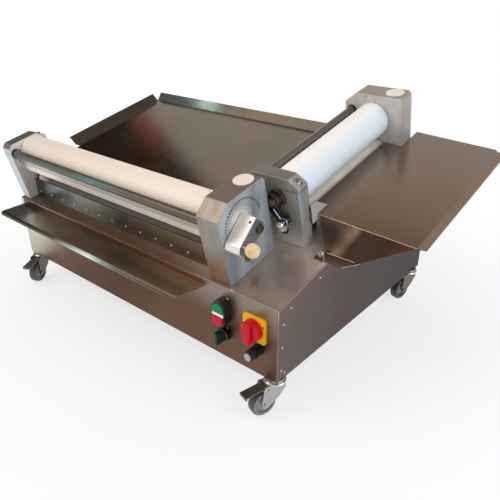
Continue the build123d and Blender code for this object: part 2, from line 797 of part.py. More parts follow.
def gear_outline(teeth, first_tooth):
    """Involute spur gear outline; a tooth's middle lies at the first_tooth angle."""
    pitch = GEAR_MODULE * teeth / 2
    base = pitch * cos(radians(PRESSURE_ANGLE))
    tip = pitch + GEAR_MODULE
    root = pitch - TOOTH_ROOT_FACTOR * GEAR_MODULE

    def involute(radius):
        slope = sqrt(max(radius / base, 1) ** 2 - 1)
        return slope - atan(slope)

    half_pitch_tooth = pi / (2 * teeth) - TOOTH_BACKLASH / (2 * pitch) + involute(pitch)
    flank = [root, pitch, tip]
    points = []
    for tooth in range(teeth):
        middle = radians(first_tooth) + 2 * pi * tooth / teeth
        rising = [(radius, middle - half_pitch_tooth + involute(radius)) for radius in flank]
        falling = [(radius, middle + half_pitch_tooth - involute(radius)) for radius in reversed(flank)]
        points += [(radius * cos(angle), radius * sin(angle)) for radius, angle in rising + falling]
    return points


def spur_gear(station, teeth, first_tooth, axis_w):
    low = station.low_inner + GEAR_SIDE_ROOM
    outline = [(p, w + axis_w) for p, w in gear_outline(teeth, first_tooth)]
    return prism_x(outline, low, low + GEAR_WIDTH)


def roller_gear(station):
    gear = spur_gear(station, ROLLER_GEAR_TEETH, -90.0, LOWER_AXIS_W)
    low = station.low_inner + GEAR_SIDE_ROOM
    return gear - rod_x(LOWER_JOURNAL_RADIUS, low, low + GEAR_WIDTH, 0, LOWER_AXIS_W)


def gearbox_start(station):
    return station.low_inner + GEAR_ROOM + GEAR_SIDE_ROOM


def motor_gear(station):
    """Gear under the deck on the gearmotor's output shaft, one space facing the roller gear's tooth."""
    gear = spur_gear(station, MOTOR_GEAR_TEETH, 90.0 + 180.0 / MOTOR_GEAR_TEETH, MOTOR_AXIS_W)
    low = station.low_inner + GEAR_SIDE_ROOM
    return gear + rod_x(
        MOTOR_SHAFT_RADIUS, low, gearbox_start(station) + MOTOR_SHAFT_SEAT, 0, MOTOR_AXIS_W
    )


def gearmotor(station):
    """Gearbox hung under the deck with its motor behind it."""
    low = gearbox_start(station)
    high = low + GEARBOX_LENGTH
    half = GEARBOX_WIDTH / 2
    case = box((low, high), (-half, half), (-SHEET - GEARBOX_HEIGHT, -SHEET))
    case = chamfer(case.edges().filter_by(Axis.X), MOTOR_EDGE)
    motor_w = -SHEET - GEARBOX_HEIGHT / 2
    motor = rod_x(MOTOR_RADIUS, high, high + MOTOR_LENGTH, 0, motor_w)
    motor = chamfer(motor.edges().group_by(Axis.X)[-1], MOTOR_EDGE)
    seat = rod_x(
        MOTOR_SHAFT_RADIUS + RUNNING_CLEARANCE, low, low + MOTOR_SHAFT_SEAT + BLIND_ROOM, 0, MOTOR_AXIS_W
    )
    return case + motor - seat


def deck_cutters(station):
    """Openings in the deck under one station: the gear slot and the block screws' holes."""
    half = sqrt(MOTOR_GEAR_TIP**2 - (MOTOR_AXIS_W + SHEET) ** 2) + SLOT_ROOM
    slot = (station.low_inner + BLIND_ROOM, station.low_inner + GEAR_ROOM - BLIND_ROOM)
    cutters = [box(slot, (-half, half), (-SHEET, 0))]
    for s, p in block_screw_places(station):
        cutters.append(rod_z(SCREW_RADIUS + BOLT_CLEARANCE, s, p, -SHEET, 0))
    return group(cutters)


def foot_screw_place():
    """Deck place (u, v) of the screw in the infeed tray's foot."""
    return CABINET_WIDTH - FOOT_SCREW_INSET, tray_near_v() - SKIRT_OUT - FOOT_SCREW_OUT


def control_places():
    """Panel places (x, z) of the controls."""
    return {
        "buttons": (CABINET_WIDTH - BUTTON_COLUMN, FRONT_HEIGHT - BUTTONS_BELOW_DECK),
        "selector": (CABINET_WIDTH - BUTTON_COLUMN, FRONT_HEIGHT - SELECTOR_BELOW_DECK),
        "switch": (CABINET_WIDTH - SWITCH_COLUMN, FRONT_HEIGHT - SWITCH_BELOW_DECK),
        "speed": (CABINET_WIDTH - SPEED_COLUMN, FRONT_HEIGHT - SPEED_BELOW_DECK),
    }


def shaft_places():
    """Panel places (x, z) of every stem and shaft that passes through the front panel."""
    places = control_places()
    x, z = places["buttons"]
    buttons = [(x, z + BUTTON_OFFSET), (x, z - BUTTON_OFFSET)]
    return buttons + [places["selector"], places["switch"], places["speed"]]


def gland_place():
    return CABINET_WIDTH - GLAND_FROM_RIGHT, GLAND_HEIGHT


def cabinet_sheets():
    """Front panel, sloping deck and back panel, mitred where they meet and not yet cut."""
    outside = [(0, 0), (0, FRONT_HEIGHT), (CABINET_DEPTH, BACK_HEIGHT), (CABINET_DEPTH, 0)]
    inside = parallel_path(outside, -SHEET)
    sheets = []
    for edge in range(len(outside) - 1):
        outline = outside[edge : edge + 2] + inside[edge : edge + 2][::-1]
        sheets.append(prism_x(outline, SHEET, CABINET_WIDTH - SHEET))
    return sheets


def front_panel():
    panel = cabinet_sheets()[0]
    for x, z in shaft_places():
        panel -= rod_y(STEM_RADIUS + PANEL_HOLE_ROOM, x, 0, SHEET, z)
    return panel


def deck_sheet():
    """Sloping top, with the gear slots and the screw holes of both stations and of the tray's foot."""
    deck = cabinet_sheets()[1]
    deck -= on_front(deck_cutters(FRONT))
    deck -= on_right(deck_cutters(RIGHT))
    u, v = foot_screw_place()
    return deck - DECK_TILT * rod_z(SCREW_RADIUS + BOLT_CLEARANCE, u, v, -SHEET, 0)


def back_panel():
    """Back with the gland's hole and a row of vents."""
    panel = cabinet_sheets()[2]
    x, z = gland_place()
    panel -= rod_y(GLAND_NECK_RADIUS, x, CABINET_DEPTH - SHEET, CABINET_DEPTH, z)
    width, height = VENT_SIZE
    for vent in range(VENT_COUNT):
        x = CABINET_WIDTH / 2 + (vent - (VENT_COUNT - 1) / 2) * VENT_PITCH
        panel -= box(
            (x - width / 2, x + width / 2),
            (CABINET_DEPTH - SHEET, CABINET_DEPTH),
            (VENT_HEIGHT - height / 2, VENT_HEIGHT + height / 2),
        )
    return panel


def side_panel(x0):
    outline = [(0, 0), (CABINET_DEPTH, 0), (CABINET_DEPTH, BACK_HEIGHT), (0, FRONT_HEIGHT)]
    return prism_x(outline, x0, x0 + SHEET)


def caster_places():
    """Swivel axes (x, y), turn about Z and whether the caster has a brake."""
    front = CASTER_INSET
    back = CABINET_DEPTH - BACK_CASTER_INSET
    side = BACK_CASTER_SIDE_INSET
    return {
        "front_left": (front, front, FRONT_LEFT_TURN, True),
        "front_right": (CABINET_WIDTH - front, front, FRONT_RIGHT_TURN, True),
        "back_left": (side, back, BACK_CASTER_TURN, False),
        "back_right": (CABINET_WIDTH - side, back, -BACK_CASTER_TURN, False),
    }


def base_plate():
    """Floor of the cabinet with a service opening beside the speed controller."""
    plate = box((SHEET, CABINET_WIDTH - SHEET), (SHEET, CABINET_DEPTH - SHEET), (0, BASE_SHEET))
    width, depth = SERVICE_OPENING
    left = CABINET_WIDTH / 2 + CONTROLLER_SIZE[0] / 2 + SERVICE_FROM_CONTROLLER
    front = (CABINET_DEPTH - depth) / 2
    plate -= box((left, left + width), (front, front + depth), (0, BASE_SHEET))
    for x, y, _, _ in caster_places().values():
        plate -= rod_z(CASTER_STEM_RADIUS, x, y, 0, BASE_SHEET)
    return plate


def table_left_u():
    return -TABLE_LEFT_OVERHANG


def table_edges():
    """Deck places of the table's edges: front v, back v, narrow right u and wide right u."""
    beside = LOWER_ROLLER_RADIUS + TABLE_ROLLER_GAP
    front_v = FRONT_AXIS_V + beside
    back_v = RIGHT.high_inner - TABLE_BACK_BEFORE_BLOCK
    narrow_u = min(FRONT.high_inner, RIGHT_AXIS_U + RIGHT.outfeed_p) - TABLE_BLOCK_GAP
    return front_v, back_v, narrow_u, RIGHT_AXIS_U - beside


def table_sheet():
    """Table between the stations: folded up at the left and back, down to the deck at the rollers."""
    front_v, back_v, narrow_u, wide_u = table_edges()
    left_u = table_left_u()
    low_w = TABLE_W - TABLE_SHEET
    beside_v = RIGHT.low_inner + TABLE_BLOCK_GAP
    far_v = back_v - TABLE_BLOCK_GAP
    corner_u = FRONT.low_inner + TABLE_BLOCK_GAP
    block_v = FRONT_AXIS_V + FRONT.thin_infeed
    corner_v = block_v + TABLE_BLOCK_GAP
    flange_v = block_v + TABLE_FLANGE_BEHIND_BLOCK
    outline = [
        (left_u, flange_v),
        (FRONT.start, flange_v),
        (FRONT.start, corner_v),
        (corner_u, corner_v),
        (corner_u, front_v),
        (narrow_u, front_v),
        (narrow_u, beside_v),
        (wide_u, beside_v),
        (wide_u, far_v),
        (narrow_u, far_v),
        (narrow_u, back_v),
        (left_u, back_v),
    ]
    sheet = prism_z(outline, low_w, TABLE_W)
    fold = TABLE_FOLD_OVERLAP
    out = TABLE_FLANGE_OUT
    top = TABLE_W + TABLE_FLANGE_RISE
    left_path = [(left_u + fold, TABLE_W), (left_u, TABLE_W), (left_u - out, top)]
    sheet += prism_y(sheet_outline(left_path, TABLE_SHEET), flange_v, back_v)
    back_path = [(back_v - fold, TABLE_W), (back_v, TABLE_W), (back_v + out, top)]
    sheet += prism_x(sheet_outline(back_path, -TABLE_SHEET), left_u, narrow_u)
    front_wall = (FRONT.low_inner + GEAR_ROOM + TABLE_WALL_INSET, narrow_u - TABLE_WALL_INSET)
    sheet += box(front_wall, (front_v, front_v + TABLE_SHEET), (0, TABLE_W))
    right_wall = (RIGHT.low_inner + GEAR_ROOM + TABLE_WALL_INSET, far_v)
    sheet += box((wide_u - TABLE_SHEET, wide_u), right_wall, (0, TABLE_W))
    rail_v = back_v - TABLE_RAIL_FROM_BACK - TABLE_RAIL_WIDTH
    rail = [
        (rail_v, 0),
        (rail_v, low_w),
        (rail_v + TABLE_RAIL_WIDTH, low_w),
        (rail_v + TABLE_RAIL_WIDTH, 0),
    ]
    return sheet + prism_x(sheet_outline(rail, -TABLE_SHEET), TABLE_WALL_INSET, narrow_u - TABLE_WALL_INSET)


def tray_near_v():
    return RIGHT.low_inner + TRAY_NEAR_GAP


def infeed_tray():
    """Tray that falls away from the right station, with a skirt, a gusset and walls down to the deck."""
    left_u = RIGHT_AXIS_U + LOWER_ROLLER_RADIUS + TRAY_ROLLER_GAP
    left_w = NIP_W - TRAY_BELOW_NIP
    near_v = tray_near_v()
    far_v = RIGHT.high_outer + TRAY_FAR_BEYOND_BLOCK
    notch_v = RIGHT.high_inner - TRAY_BLOCK_GAP
    notch_x = RIGHT_AXIS_U + RIGHT.thick_infeed + TRAY_BLOCK_GAP - left_u
    outline = [
        (0, near_v),
        (TRAY_LENGTH, near_v),
        (TRAY_LENGTH, far_v - TRAY_CORNER_CUT),
        (TRAY_LENGTH - TRAY_CORNER_CUT, far_v),
        (notch_x, far_v),
        (notch_x, notch_v),
        (0, notch_v),
    ]
    tray = prism_z(outline, -TRAY_SHEET, 0)
    rise = radians(TRAY_LIP_RISE)
    lip_path = [
        (TRAY_LENGTH - TRAY_CORNER_CUT, 0),
        (TRAY_LENGTH, 0),
        (TRAY_LENGTH + TRAY_LIP * cos(rise), TRAY_LIP * sin(rise)),
    ]
    tray += prism_y(sheet_outline(lip_path, -TRAY_SHEET), near_v, far_v - TRAY_CORNER_CUT)
    skirt = [
        (SKIRT_TOP[0], near_v, 0),
        (SKIRT_TOP[1], near_v, 0),
        (SKIRT_BOTTOM[1], near_v - SKIRT_OUT, -left_w),
        (SKIRT_BOTTOM[0], near_v - SKIRT_OUT, -left_w),
    ]
    skirt_face = make_face(Polyline(*skirt, close=True))
    tray += extrude(skirt_face, amount=TRAY_SHEET, dir=(0, 1, 0))
    tray = Pos(left_u, 0, left_w) * Rot(0, TRAY_SLOPE, 0) * tray
    tray += box(
        (left_u, left_u + TRAY_SHEET),
        (RIGHT.low_inner + GEAR_ROOM + TRAY_WALL_INSET, notch_v),
        (0, left_w - TRAY_SHEET / 2),
    )
    back_u = left_u + notch_x
    back_w = left_w - (CABINET_WIDTH - left_u) * tan(radians(TRAY_SLOPE)) - TRAY_SHEET / 2
    tray += box((back_u, CABINET_WIDTH - SHEET), (far_v - TRAY_SHEET, far_v), (0, back_w))
    foot_v = near_v - SKIRT_OUT
    foot_u = CABINET_WIDTH - FOOT_FROM_DECK_EDGE
    foot_back = foot_v + 2 * TRAY_SHEET
    foot_front = foot_v - FOOT_WIDTH
    foot = [
        (foot_u, foot_front),
        (foot_u + FOOT_LENGTH - FOOT_WIDTH, foot_front),
        (foot_u + FOOT_LENGTH, foot_v),
        (foot_u + FOOT_LENGTH, foot_back),
        (foot_u, foot_back),
    ]
    tray += prism_z(foot, 0, TRAY_SHEET)
    gusset_u = RIGHT_AXIS_U + RIGHT.thin_infeed + GUSSET_BLOCK_GAP
    gusset_start = near_v - GUSSET_FLAT
    gusset = [
        (gusset_start, left_w - GUSSET_BELOW_TRAY),
        (near_v, left_w - GUSSET_BELOW_TRAY),
        (gusset_start + GUSSET_LENGTH, left_w - GUSSET_BELOW_TRAY / 2),
        (gusset_start + GUSSET_LENGTH, left_w),
        (near_v, left_w + GUSSET_ABOVE_TRAY),
        (gusset_start, left_w + GUSSET_ABOVE_TRAY),
    ]
    tray += prism_x(gusset, gusset_u, gusset_u + TRAY_SHEET)
    u, v = foot_screw_place()
    tray -= rod_z(SCREW_RADIUS, u, v, 0, TRAY_SHEET)
    below_deck = box((left_u, left_u + TRAY_LENGTH), (foot_front, far_v), (-left_w, 0))
    return DECK_TILT * (tray - below_deck)


def catch_tray():
    """Shelf hung on the front panel below the front station, rolled down at its front edge."""
    shelf = FRONT_HEIGHT - CATCH_BELOW_DECK
    path = [
        (0, shelf + CATCH_FLANGE),
        (0, shelf),
        (-CATCH_DEPTH, shelf - CATCH_FALL),
        (-CATCH_DEPTH, shelf - CATCH_FALL - CATCH_LIP),
    ]
    left = FRONT.low_inner - CATCH_LEFT_BEYOND_SPAN
    right = FRONT.high_inner - CATCH_RIGHT_SHORT
    outside = parallel_path(path, -CATCH_SHEET)
    outline = make_face(Polyline(*path, *outside[::-1], close=True))
    for corner, radius in ((path[2], CATCH_BEND - CATCH_SHEET), (outside[2], CATCH_BEND)):
        bend = outline.vertices().sort_by_distance((*corner, 0))[0]
        outline = fillet(bend, radius)
    tray = extrude(Plane.YZ.offset(left) * outline, amount=right - left, dir=(1, 0, 0))
    edge = -CATCH_DEPTH - CATCH_SHEET
    taper = [(right, -CATCH_SHEET), (right, edge), (right - CATCH_TAPER, edge)]
    return tray - prism_z(taper, 0, FRONT_HEIGHT)


def button_column(width, height, front, back):
    """Upright with round ends in front of the panel, from y = front to y = back."""
    x, z = control_places()["buttons"]
    outline = Plane.XZ.offset(-back) * Pos(x, z) * SlotOverall(height, width, rotation=90)
    return extrude(outline, amount=back - front, dir=(0, -1, 0))


def half_button(side, front, back, room):
    """Upper (side 1) or lower (side -1) half of the button column, room larger all round."""
    x, z = control_places()["buttons"]
    whole = button_column(BUTTON_WIDTH + 2 * room, BUTTON_FACE_HEIGHT + 2 * room, front, back)
    near = z + side * (LENS_HEIGHT / 2 + BUTTON_WALL - room)
    far = z + side * BUTTON_BODY_HEIGHT / 2
    half = BUTTON_BODY_WIDTH / 2
    return whole & box((x - half, x + half), (front, back), (min(near, far), max(near, far)))


def button_body():
    """Body of the start and stop buttons with a pocket for each and one for the lens between."""
    x, z = control_places()["buttons"]
    front = -BUTTON_BODY_DEPTH
    body = button_column(BUTTON_BODY_WIDTH, BUTTON_BODY_HEIGHT, front, 0)
    for side in (1, -1):
        body -= half_button(side, front, -BUTTON_FLOOR, BUTTON_SIDE_ROOM)
        body -= rod_y(STEM_RADIUS + RUNNING_CLEARANCE, x, -BUTTON_FLOOR, 0, z + side * BUTTON_OFFSET)
    return body - lens_box(x, z, BUTTON_BODY_DEPTH)


def lens_box(x, z, front):
    return box(
        (x - BUTTON_WIDTH / 2, x + BUTTON_WIDTH / 2),
        (-front, -BUTTON_FLOOR),
        (z - LENS_HEIGHT / 2, z + LENS_HEIGHT / 2),
    )


def pilot_lens():
    x, z = control_places()["buttons"]
    return lens_box(x, z, BUTTON_BODY_DEPTH + LENS_STAND)


def push_button(side, stand):
    """Button cap and stem; side is 1 for the upper one and -1 for the lower one."""
    x, z = control_places()["buttons"]
    middle = z + side * BUTTON_OFFSET
    back = -BUTTON_FLOOR - BUTTON_TRAVEL - BUTTON_STOP_ROOM
    cap = half_button(side, -BUTTON_BODY_DEPTH - stand, back, 0)
    cap = fillet(cap.edges().group_by(Axis.Y)[0], BUTTON_EDGE)
    return cap + rod_y(STEM_RADIUS, x, back, STEM_DEPTH, middle)


def turning_knob(place, front, disc, grip):
    """Round disc in front of the panel with a bar grip and a shaft."""
    x, z = place
    radius, depth = disc
    width, stand, length = grip
    knob = rod_y(radius, x, front - depth, front, z)
    knob = fillet(knob.edges().group_by(Axis.Y)[0], GRIP_EDGE)
    face = front - depth
    bar = box((x - width / 2, x + width / 2), (face - stand, face), (z - length / 2, z + length / 2))
    bar = fillet(bar.edges().group_by(Axis.Y)[0], GRIP_EDGE)
    return knob + bar + rod_y(STEM_RADIUS, x, front, STEM_DEPTH, z)


def selector_knob():
    disc = (SELECTOR_SKIRT_RADIUS, SELECTOR_SKIRT_DEPTH)
    return turning_knob(control_places()["selector"], -FACE_CLEARANCE, disc, SELECTOR_GRIP)


def main_switch_knob():
    disc = (SWITCH_DISC_RADIUS, SWITCH_DISC_DEPTH)
    front = -SWITCH_PLATE_DEPTH - FACE_CLEARANCE
    return turning_knob(control_places()["switch"], front, disc, SWITCH_GRIP)


def main_switch_plate():
    x, z = control_places()["switch"]
    square = Plane.XZ * Pos(x, z) * RectangleRounded(SWITCH_PLATE, SWITCH_PLATE, SWITCH_PLATE_CORNER)
    plate = extrude(square, amount=SWITCH_PLATE_DEPTH, dir=(0, -1, 0))
    return plate - rod_y(STEM_RADIUS + PANEL_HOLE_ROOM, x, -SWITCH_PLATE_DEPTH, 0, z)


def speed_knob():
    x, z = control_places()["speed"]
    back = -FACE_CLEARANCE
    skirt = back - SPEED_SKIRT_DEPTH
    knob = rod_y(SPEED_SKIRT_RADIUS, x, skirt, back, z)
    body = rod_y(SPEED_KNOB_RADIUS, x, skirt - SPEED_KNOB_DEPTH, skirt, z)
    knob += chamfer(body.edges().group_by(Axis.Y)[0], BUTTON_EDGE)
    return knob + rod_y(STEM_RADIUS, x, back, STEM_DEPTH, z)


def switch_bodies():
    """Bodies behind the front panel that the stems and shafts run in."""
    places = control_places()
    side = SWITCH_BODY_SIDE / 2
    sizes = {
        "buttons": (BUTTON_BODY_WIDTH / 2, BUTTON_BODY_HEIGHT / 2),
        "selector": (side, side),
        "switch": (SWITCH_PLATE / 2, side),
        "speed": (SPEED_SKIRT_RADIUS, SPEED_SKIRT_RADIUS),
    }
    back = SHEET + SWITCH_BODY_DEPTH
    bodies = []
    for name, (half, tall) in sizes.items():
        x, z = places[name]
        body = box((x - half, x + half), (SHEET, back), (z - tall, z + tall))
        for shaft_x, shaft_z in shaft_places():
            inside = abs(shaft_x - x) < half and abs(shaft_z - z) < tall
            if inside:
                body -= rod_y(STEM_RADIUS + RUNNING_CLEARANCE, shaft_x, SHEET, back - SHEET, shaft_z)
        bodies.append(body)
    return group(bodies)


def speed_controller():
    """Finned box on the base plate."""
    width, depth, height = CONTROLLER_SIZE
    x = CABINET_WIDTH / 2
    y = CABINET_DEPTH / 2
    y_range = (y - depth / 2, y + depth / 2)
    top = BASE_SHEET + height
    body = box((x - width / 2, x + width / 2), y_range, (BASE_SHEET, top))
    fin, fin_height = CONTROLLER_FIN
    pitch = (width - fin) / (CONTROLLER_FIN_COUNT - 1)
    for count in range(CONTROLLER_FIN_COUNT):
        left = x - width / 2 + count * pitch
        body += box((left, left + fin), y_range, (top, top + fin_height))
    return body


def cable_gland():
    """Gland in the back panel: nut inside, hexagon and dome outside, bore right through."""
    x, z = gland_place()
    inside = CABINET_DEPTH - SHEET
    outside = CABINET_DEPTH
    tip = outside + GLAND_HEX_DEPTH + GLAND_DOME_DEPTH
    gland = rod_y(GLAND_NECK_RADIUS, x, inside - GLAND_NUT_DEPTH, outside, z)
    gland += hexagon_y(GLAND_HEX_ACROSS, x, inside - GLAND_NUT_DEPTH, inside, z)
    gland += hexagon_y(GLAND_HEX_ACROSS, x, outside, outside + GLAND_HEX_DEPTH, z)
    dome = rod_y(GLAND_DOME_RADIUS, x, outside + GLAND_HEX_DEPTH, tip, z)
    gland += fillet(dome.edges().group_by(Axis.Y)[-1], BUTTON_EDGE)
    return gland - rod_y(GLAND_BORE, x, inside - GLAND_NUT_DEPTH, tip, z)


def caster_levels():
    """Heights below the cabinet: underside of the flange, of the crown and of the retainer, and the axle."""
    flange = -CASTER_FLANGE
    crown = flange - FACE_CLEARANCE - FORK_CROWN
    retainer = crown - FACE_CLEARANCE - CASTER_RETAINER
    return flange, crown, retainer, -WHEEL_TOP_ROOM - WHEEL_RADIUS


def on_caster(name, shape):
    """Caster coordinates (swivel axis at the origin, wheel trailing toward -Y) to machine coordinates."""
    x, y, turn, _ = caster_places()[name]
    return Pos(x, y, 0) * Rot(0, 0, turn) * shape


def caster_head():
    flange, _, retainer, _ = caster_levels()
    head = rod_z(CASTER_HEAD_RADIUS, 0, 0, flange, 0)
    head += rod_z(CASTER_PIN_RADIUS, 0, 0, retainer, flange)
    head += rod_z(CASTER_RETAINER_RADIUS, 0, 0, retainer, retainer + CASTER_RETAINER)
    head += rod_z(CASTER_STEM_RADIUS, 0, 0, 0, BASE_SHEET)
    nut = extrude(RegularPolygon(CASTER_NUT_ACROSS / 2, 6, major_radius=False), CASTER_NUT_HEIGHT)
    return head + Pos(0, 0, BASE_SHEET) * nut


def caster_fork(braked):
    """Crown on the swivel pin, two legs and the wheel's axle."""
    flange, crown, _, axle_z = caster_levels()
    top = flange - FACE_CLEARANCE
    fork = rod_z(CASTER_HEAD_RADIUS, 0, 0, crown, top)
    fork -= rod_z(CASTER_PIN_RADIUS + RUNNING_CLEARANCE, 0, 0, crown, top)
    foot = 2 * WHEEL_AXLE_RADIUS
    outline = [
        (CASTER_HEAD_RADIUS - FORK_LEG, top - FORK_LEG),
        (-PEDAL_PIVOT_BACK - PEDAL_HUB_RADIUS - FORK_LEG, top - FORK_LEG),
        (-CASTER_TRAIL - foot, axle_z + foot / 2),
        (-CASTER_TRAIL - foot / 2, axle_z - foot),
        (-CASTER_TRAIL + foot / 2, axle_z - foot),
        (0, axle_z + foot),
        (CASTER_HEAD_RADIUS - FORK_LEG, crown - foot),
    ]
    inner = WHEEL_WIDTH / 2 + FORK_WHEEL_ROOM
    outer = inner + FORK_LEG
    pivot = rod_x(
        PEDAL_PIN_RADIUS + RUNNING_CLEARANCE, -outer, outer, -PEDAL_PIVOT_BACK, -PEDAL_PIVOT_DROP
    )
    for low in (-outer, inner):
        leg = prism_x(outline, low, low + FORK_LEG)
        fork += leg - rod_z(CASTER_PIN_RADIUS + RUNNING_CLEARANCE, 0, 0, crown, top)
    if braked:
        fork -= pivot
    head = outer + AXLE_HEAD_STAND
    return fork + rod_x(WHEEL_AXLE_RADIUS, -head, head, -CASTER_TRAIL, axle_z)


def caster_wheel():
    """Wheel with a rounded tread and dished sides."""
    axle_z = caster_levels()[3]
    half = WHEEL_WIDTH / 2
    wheel = rod_x(WHEEL_RADIUS, -half, half, -CASTER_TRAIL, axle_z)
    wheel = fillet(wheel.edges(), WHEEL_EDGE)
    for low in (-half, half - WHEEL_DISH_DEPTH):
        high = low + WHEEL_DISH_DEPTH
        dish = rod_x(WHEEL_DISH_OUTER, low, high, -CASTER_TRAIL, axle_z)
        wheel -= dish - rod_x(WHEEL_DISH_INNER, low, high, -CASTER_TRAIL, axle_z)
    return wheel - rod_x(WHEEL_AXLE_RADIUS + RUNNING_CLEARANCE, -half, half, -CASTER_TRAIL, axle_z)


def brake_pedal():
    """Pedal over the wheel on a pin through the fork's legs, with a turned-down lip."""
    inner = WHEEL_WIDTH / 2 + FORK_WHEEL_ROOM - FACE_CLEARANCE
    pin_end = inner + FACE_CLEARANCE + FORK_LEG
    top = PEDAL_HUB_RADIUS
    inside = PEDAL_SHEET - PEDAL_LENGTH
    pedal = rod_x(PEDAL_HUB_RADIUS, -inner, inner, 0, 0)
    outline = [
        (0, top),
        (-PEDAL_LENGTH, top),
        (-PEDAL_LENGTH, top - PEDAL_LIP),
        (inside, top - PEDAL_LIP),
        (inside, top - PEDAL_SHEET),
        (0, top - PEDAL_SHEET),
    ]
    pedal += prism_x(outline, -inner, inner)
    pedal += rod_x(PEDAL_PIN_RADIUS, -pin_end, pin_end, 0, 0)
    return Pos(0, -PEDAL_PIVOT_BACK, -PEDAL_PIVOT_DROP) * Rot(PEDAL_TILT, 0, 0) * pedal


def station_parts(name, station, place):
    """The pieces that both stations have, under names that start with the station's."""
    base, cap = thin_block(station)
    thin_name = "front_left" if station is FRONT else "right_near"
    thick_name = "front_right" if station is FRONT else "right_far"
    pieces = {
        f"{thin_name}_block": base,
        f"{thin_name}_cap": cap,
        f"{thick_name}_block": thick_block(station),
        f"{name}_guard_bar": guard_bar(station),
        f"{name}_scraper": upper_scraper(station),
        f"{name}_axle": axle(station),
        f"{name}_lever": lever(station),
        f"{name}_index_pin": index_pin(station),
        f"{name}_upper_roller": upper_roller(station),
        f"{name}_lower_roller": lower_roller(station),
        f"{name}_roller_gear": roller_gear(station),
        f"{name}_motor_gear": motor_gear(station),
        f"{name}_gearmotor": gearmotor(station),
    }
    return {piece: place(shape) for piece, shape in pieces.items()}


def all_parts():
    parts = {
        "front_panel": front_panel(),
        "deck_sheet": deck_sheet(),
        "back_panel": back_panel(),
        "side_panels": group([side_panel(0), side_panel(CABINET_WIDTH - SHEET)]),
        "base_plate": base_plate(),
        "table_sheet": DECK_TILT * table_sheet(),
        "infeed_tray": infeed_tray(),
        "catch_tray": catch_tray(),
        "front_apron": on_front(front_apron(FRONT)),
        "start_stop_body": button_body(),
        "pilot_lens": pilot_lens(),
        "start_button": push_button(1, START_STAND),
        "stop_button": push_button(-1, STOP_STAND),
        "selector_knob": selector_knob(),
        "main_switch_plate": main_switch_plate(),
        "main_switch_knob": main_switch_knob(),
        "speed_knob": speed_knob(),
        "switch_bodies": switch_bodies(),
        "speed_controller": speed_controller(),
        "cable_gland": cable_gland(),
        "caster_heads": group([on_caster(name, caster_head()) for name in caster_places()]),
    }
    parts.update(station_parts("front", FRONT, on_front))
    parts.update(station_parts("right", RIGHT, on_right))
    parts["bore_plugs"] = group([on_front(plug(FRONT)), on_right(plug(RIGHT))])
    parts["roller_bushes"] = group(
        [on_front(bush) for bush in bushes(FRONT)] + [on_right(bush) for bush in bushes(RIGHT)]
    )
    screws = [on_front(screw) for screw in station_screws(FRONT)]
    screws += [on_right(screw) for screw in station_screws(RIGHT)]
    u, v = foot_screw_place()
    screws.append(DECK_TILT * Pos(u, v, TRAY_SHEET) * socket_screw(FOOT_SCREW_LENGTH))
    parts["fixing_screws"] = group(screws)
    for name, (_, _, _, braked) in caster_places().items():
        parts[f"{name}_fork"] = on_caster(name, caster_fork(braked))
        parts[f"{name}_wheel"] = on_caster(name, caster_wheel())
        if braked:
            parts[f"{name}_pedal"] = on_caster(name, brake_pedal())
    return parts


def main():
    """Write every piece with the origin on the floor below the middle of the whole outline."""
    parts = all_parts()
    outline = group(parts.values()).bounding_box()
    middle = outline.center()
    to_origin = Pos(-middle.X, -middle.Y, -outline.min.Z)
    os.makedirs("parts", exist_ok=True)
    for name, shape in parts.items():
        export_step(group([to_origin * solid for solid in shape.solids()]), f"parts/{name}.step")
    print("origin in machine coordinates:", middle.X, middle.Y, outline.min.Z)
    print("outline size:", outline.size.X, outline.size.Y, outline.size.Z)


main()
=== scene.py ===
import math

import bpy
from mathutils import Matrix, Vector


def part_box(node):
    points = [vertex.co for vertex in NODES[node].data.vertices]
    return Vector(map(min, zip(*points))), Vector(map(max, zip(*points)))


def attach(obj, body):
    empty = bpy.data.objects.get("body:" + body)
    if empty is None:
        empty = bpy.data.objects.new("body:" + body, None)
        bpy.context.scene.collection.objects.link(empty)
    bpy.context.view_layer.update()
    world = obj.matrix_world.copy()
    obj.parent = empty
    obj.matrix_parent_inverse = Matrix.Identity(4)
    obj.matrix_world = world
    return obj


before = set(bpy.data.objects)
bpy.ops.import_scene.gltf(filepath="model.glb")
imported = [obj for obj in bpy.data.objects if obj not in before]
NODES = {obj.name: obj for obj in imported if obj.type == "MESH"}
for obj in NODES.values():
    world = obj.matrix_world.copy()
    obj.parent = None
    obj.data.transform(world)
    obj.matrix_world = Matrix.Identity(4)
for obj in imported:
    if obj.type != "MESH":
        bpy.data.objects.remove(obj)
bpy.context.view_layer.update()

MM = 0.001

# Sizes of the machine in millimetres, the same as the solids have. On the sloping deck, U runs to
# the right, V up the slope and W away from the deck. P is V counted from the front rollers' axis.
SHEET = 2.0
CABINET_WIDTH = 780.0
CABINET_DEPTH = 555.0
FRONT_HEIGHT = 145.0
DECK_LENGTH = 569.8
DECK_SLOPE = math.radians(13.2)
FRONT_AXIS_V = 63.318
RIGHT_AXIS_U = 676.5
PIVOT_W = 98.0
FRONT_BAR_P = -44.190
APRON_TOP = (-25.418, 41.0)
APRON_FOOT = (-33.418, 0.0)
APRON_SHEET = 1.5
TRAY_LEFT = (704.5, 0.0, 54.0)
TRAY_NEAR_V = 196.3
TRAY_SLOPE = math.radians(3.0)
TRAY_LENGTH = 212.2
BLOCK_FACE = 673.0
FRONT_KNOB = (726.0, -43.038, 88.852)
FRONT_KNOB_RADIUS = 12.5
SPEED_KNOB = (738.0, 51.0)
SPEED_KNOB_RADIUS = 9.3
SPEED_KNOB_FRONT = 28.3
SWITCH_PLATE_DEPTH = 5.0

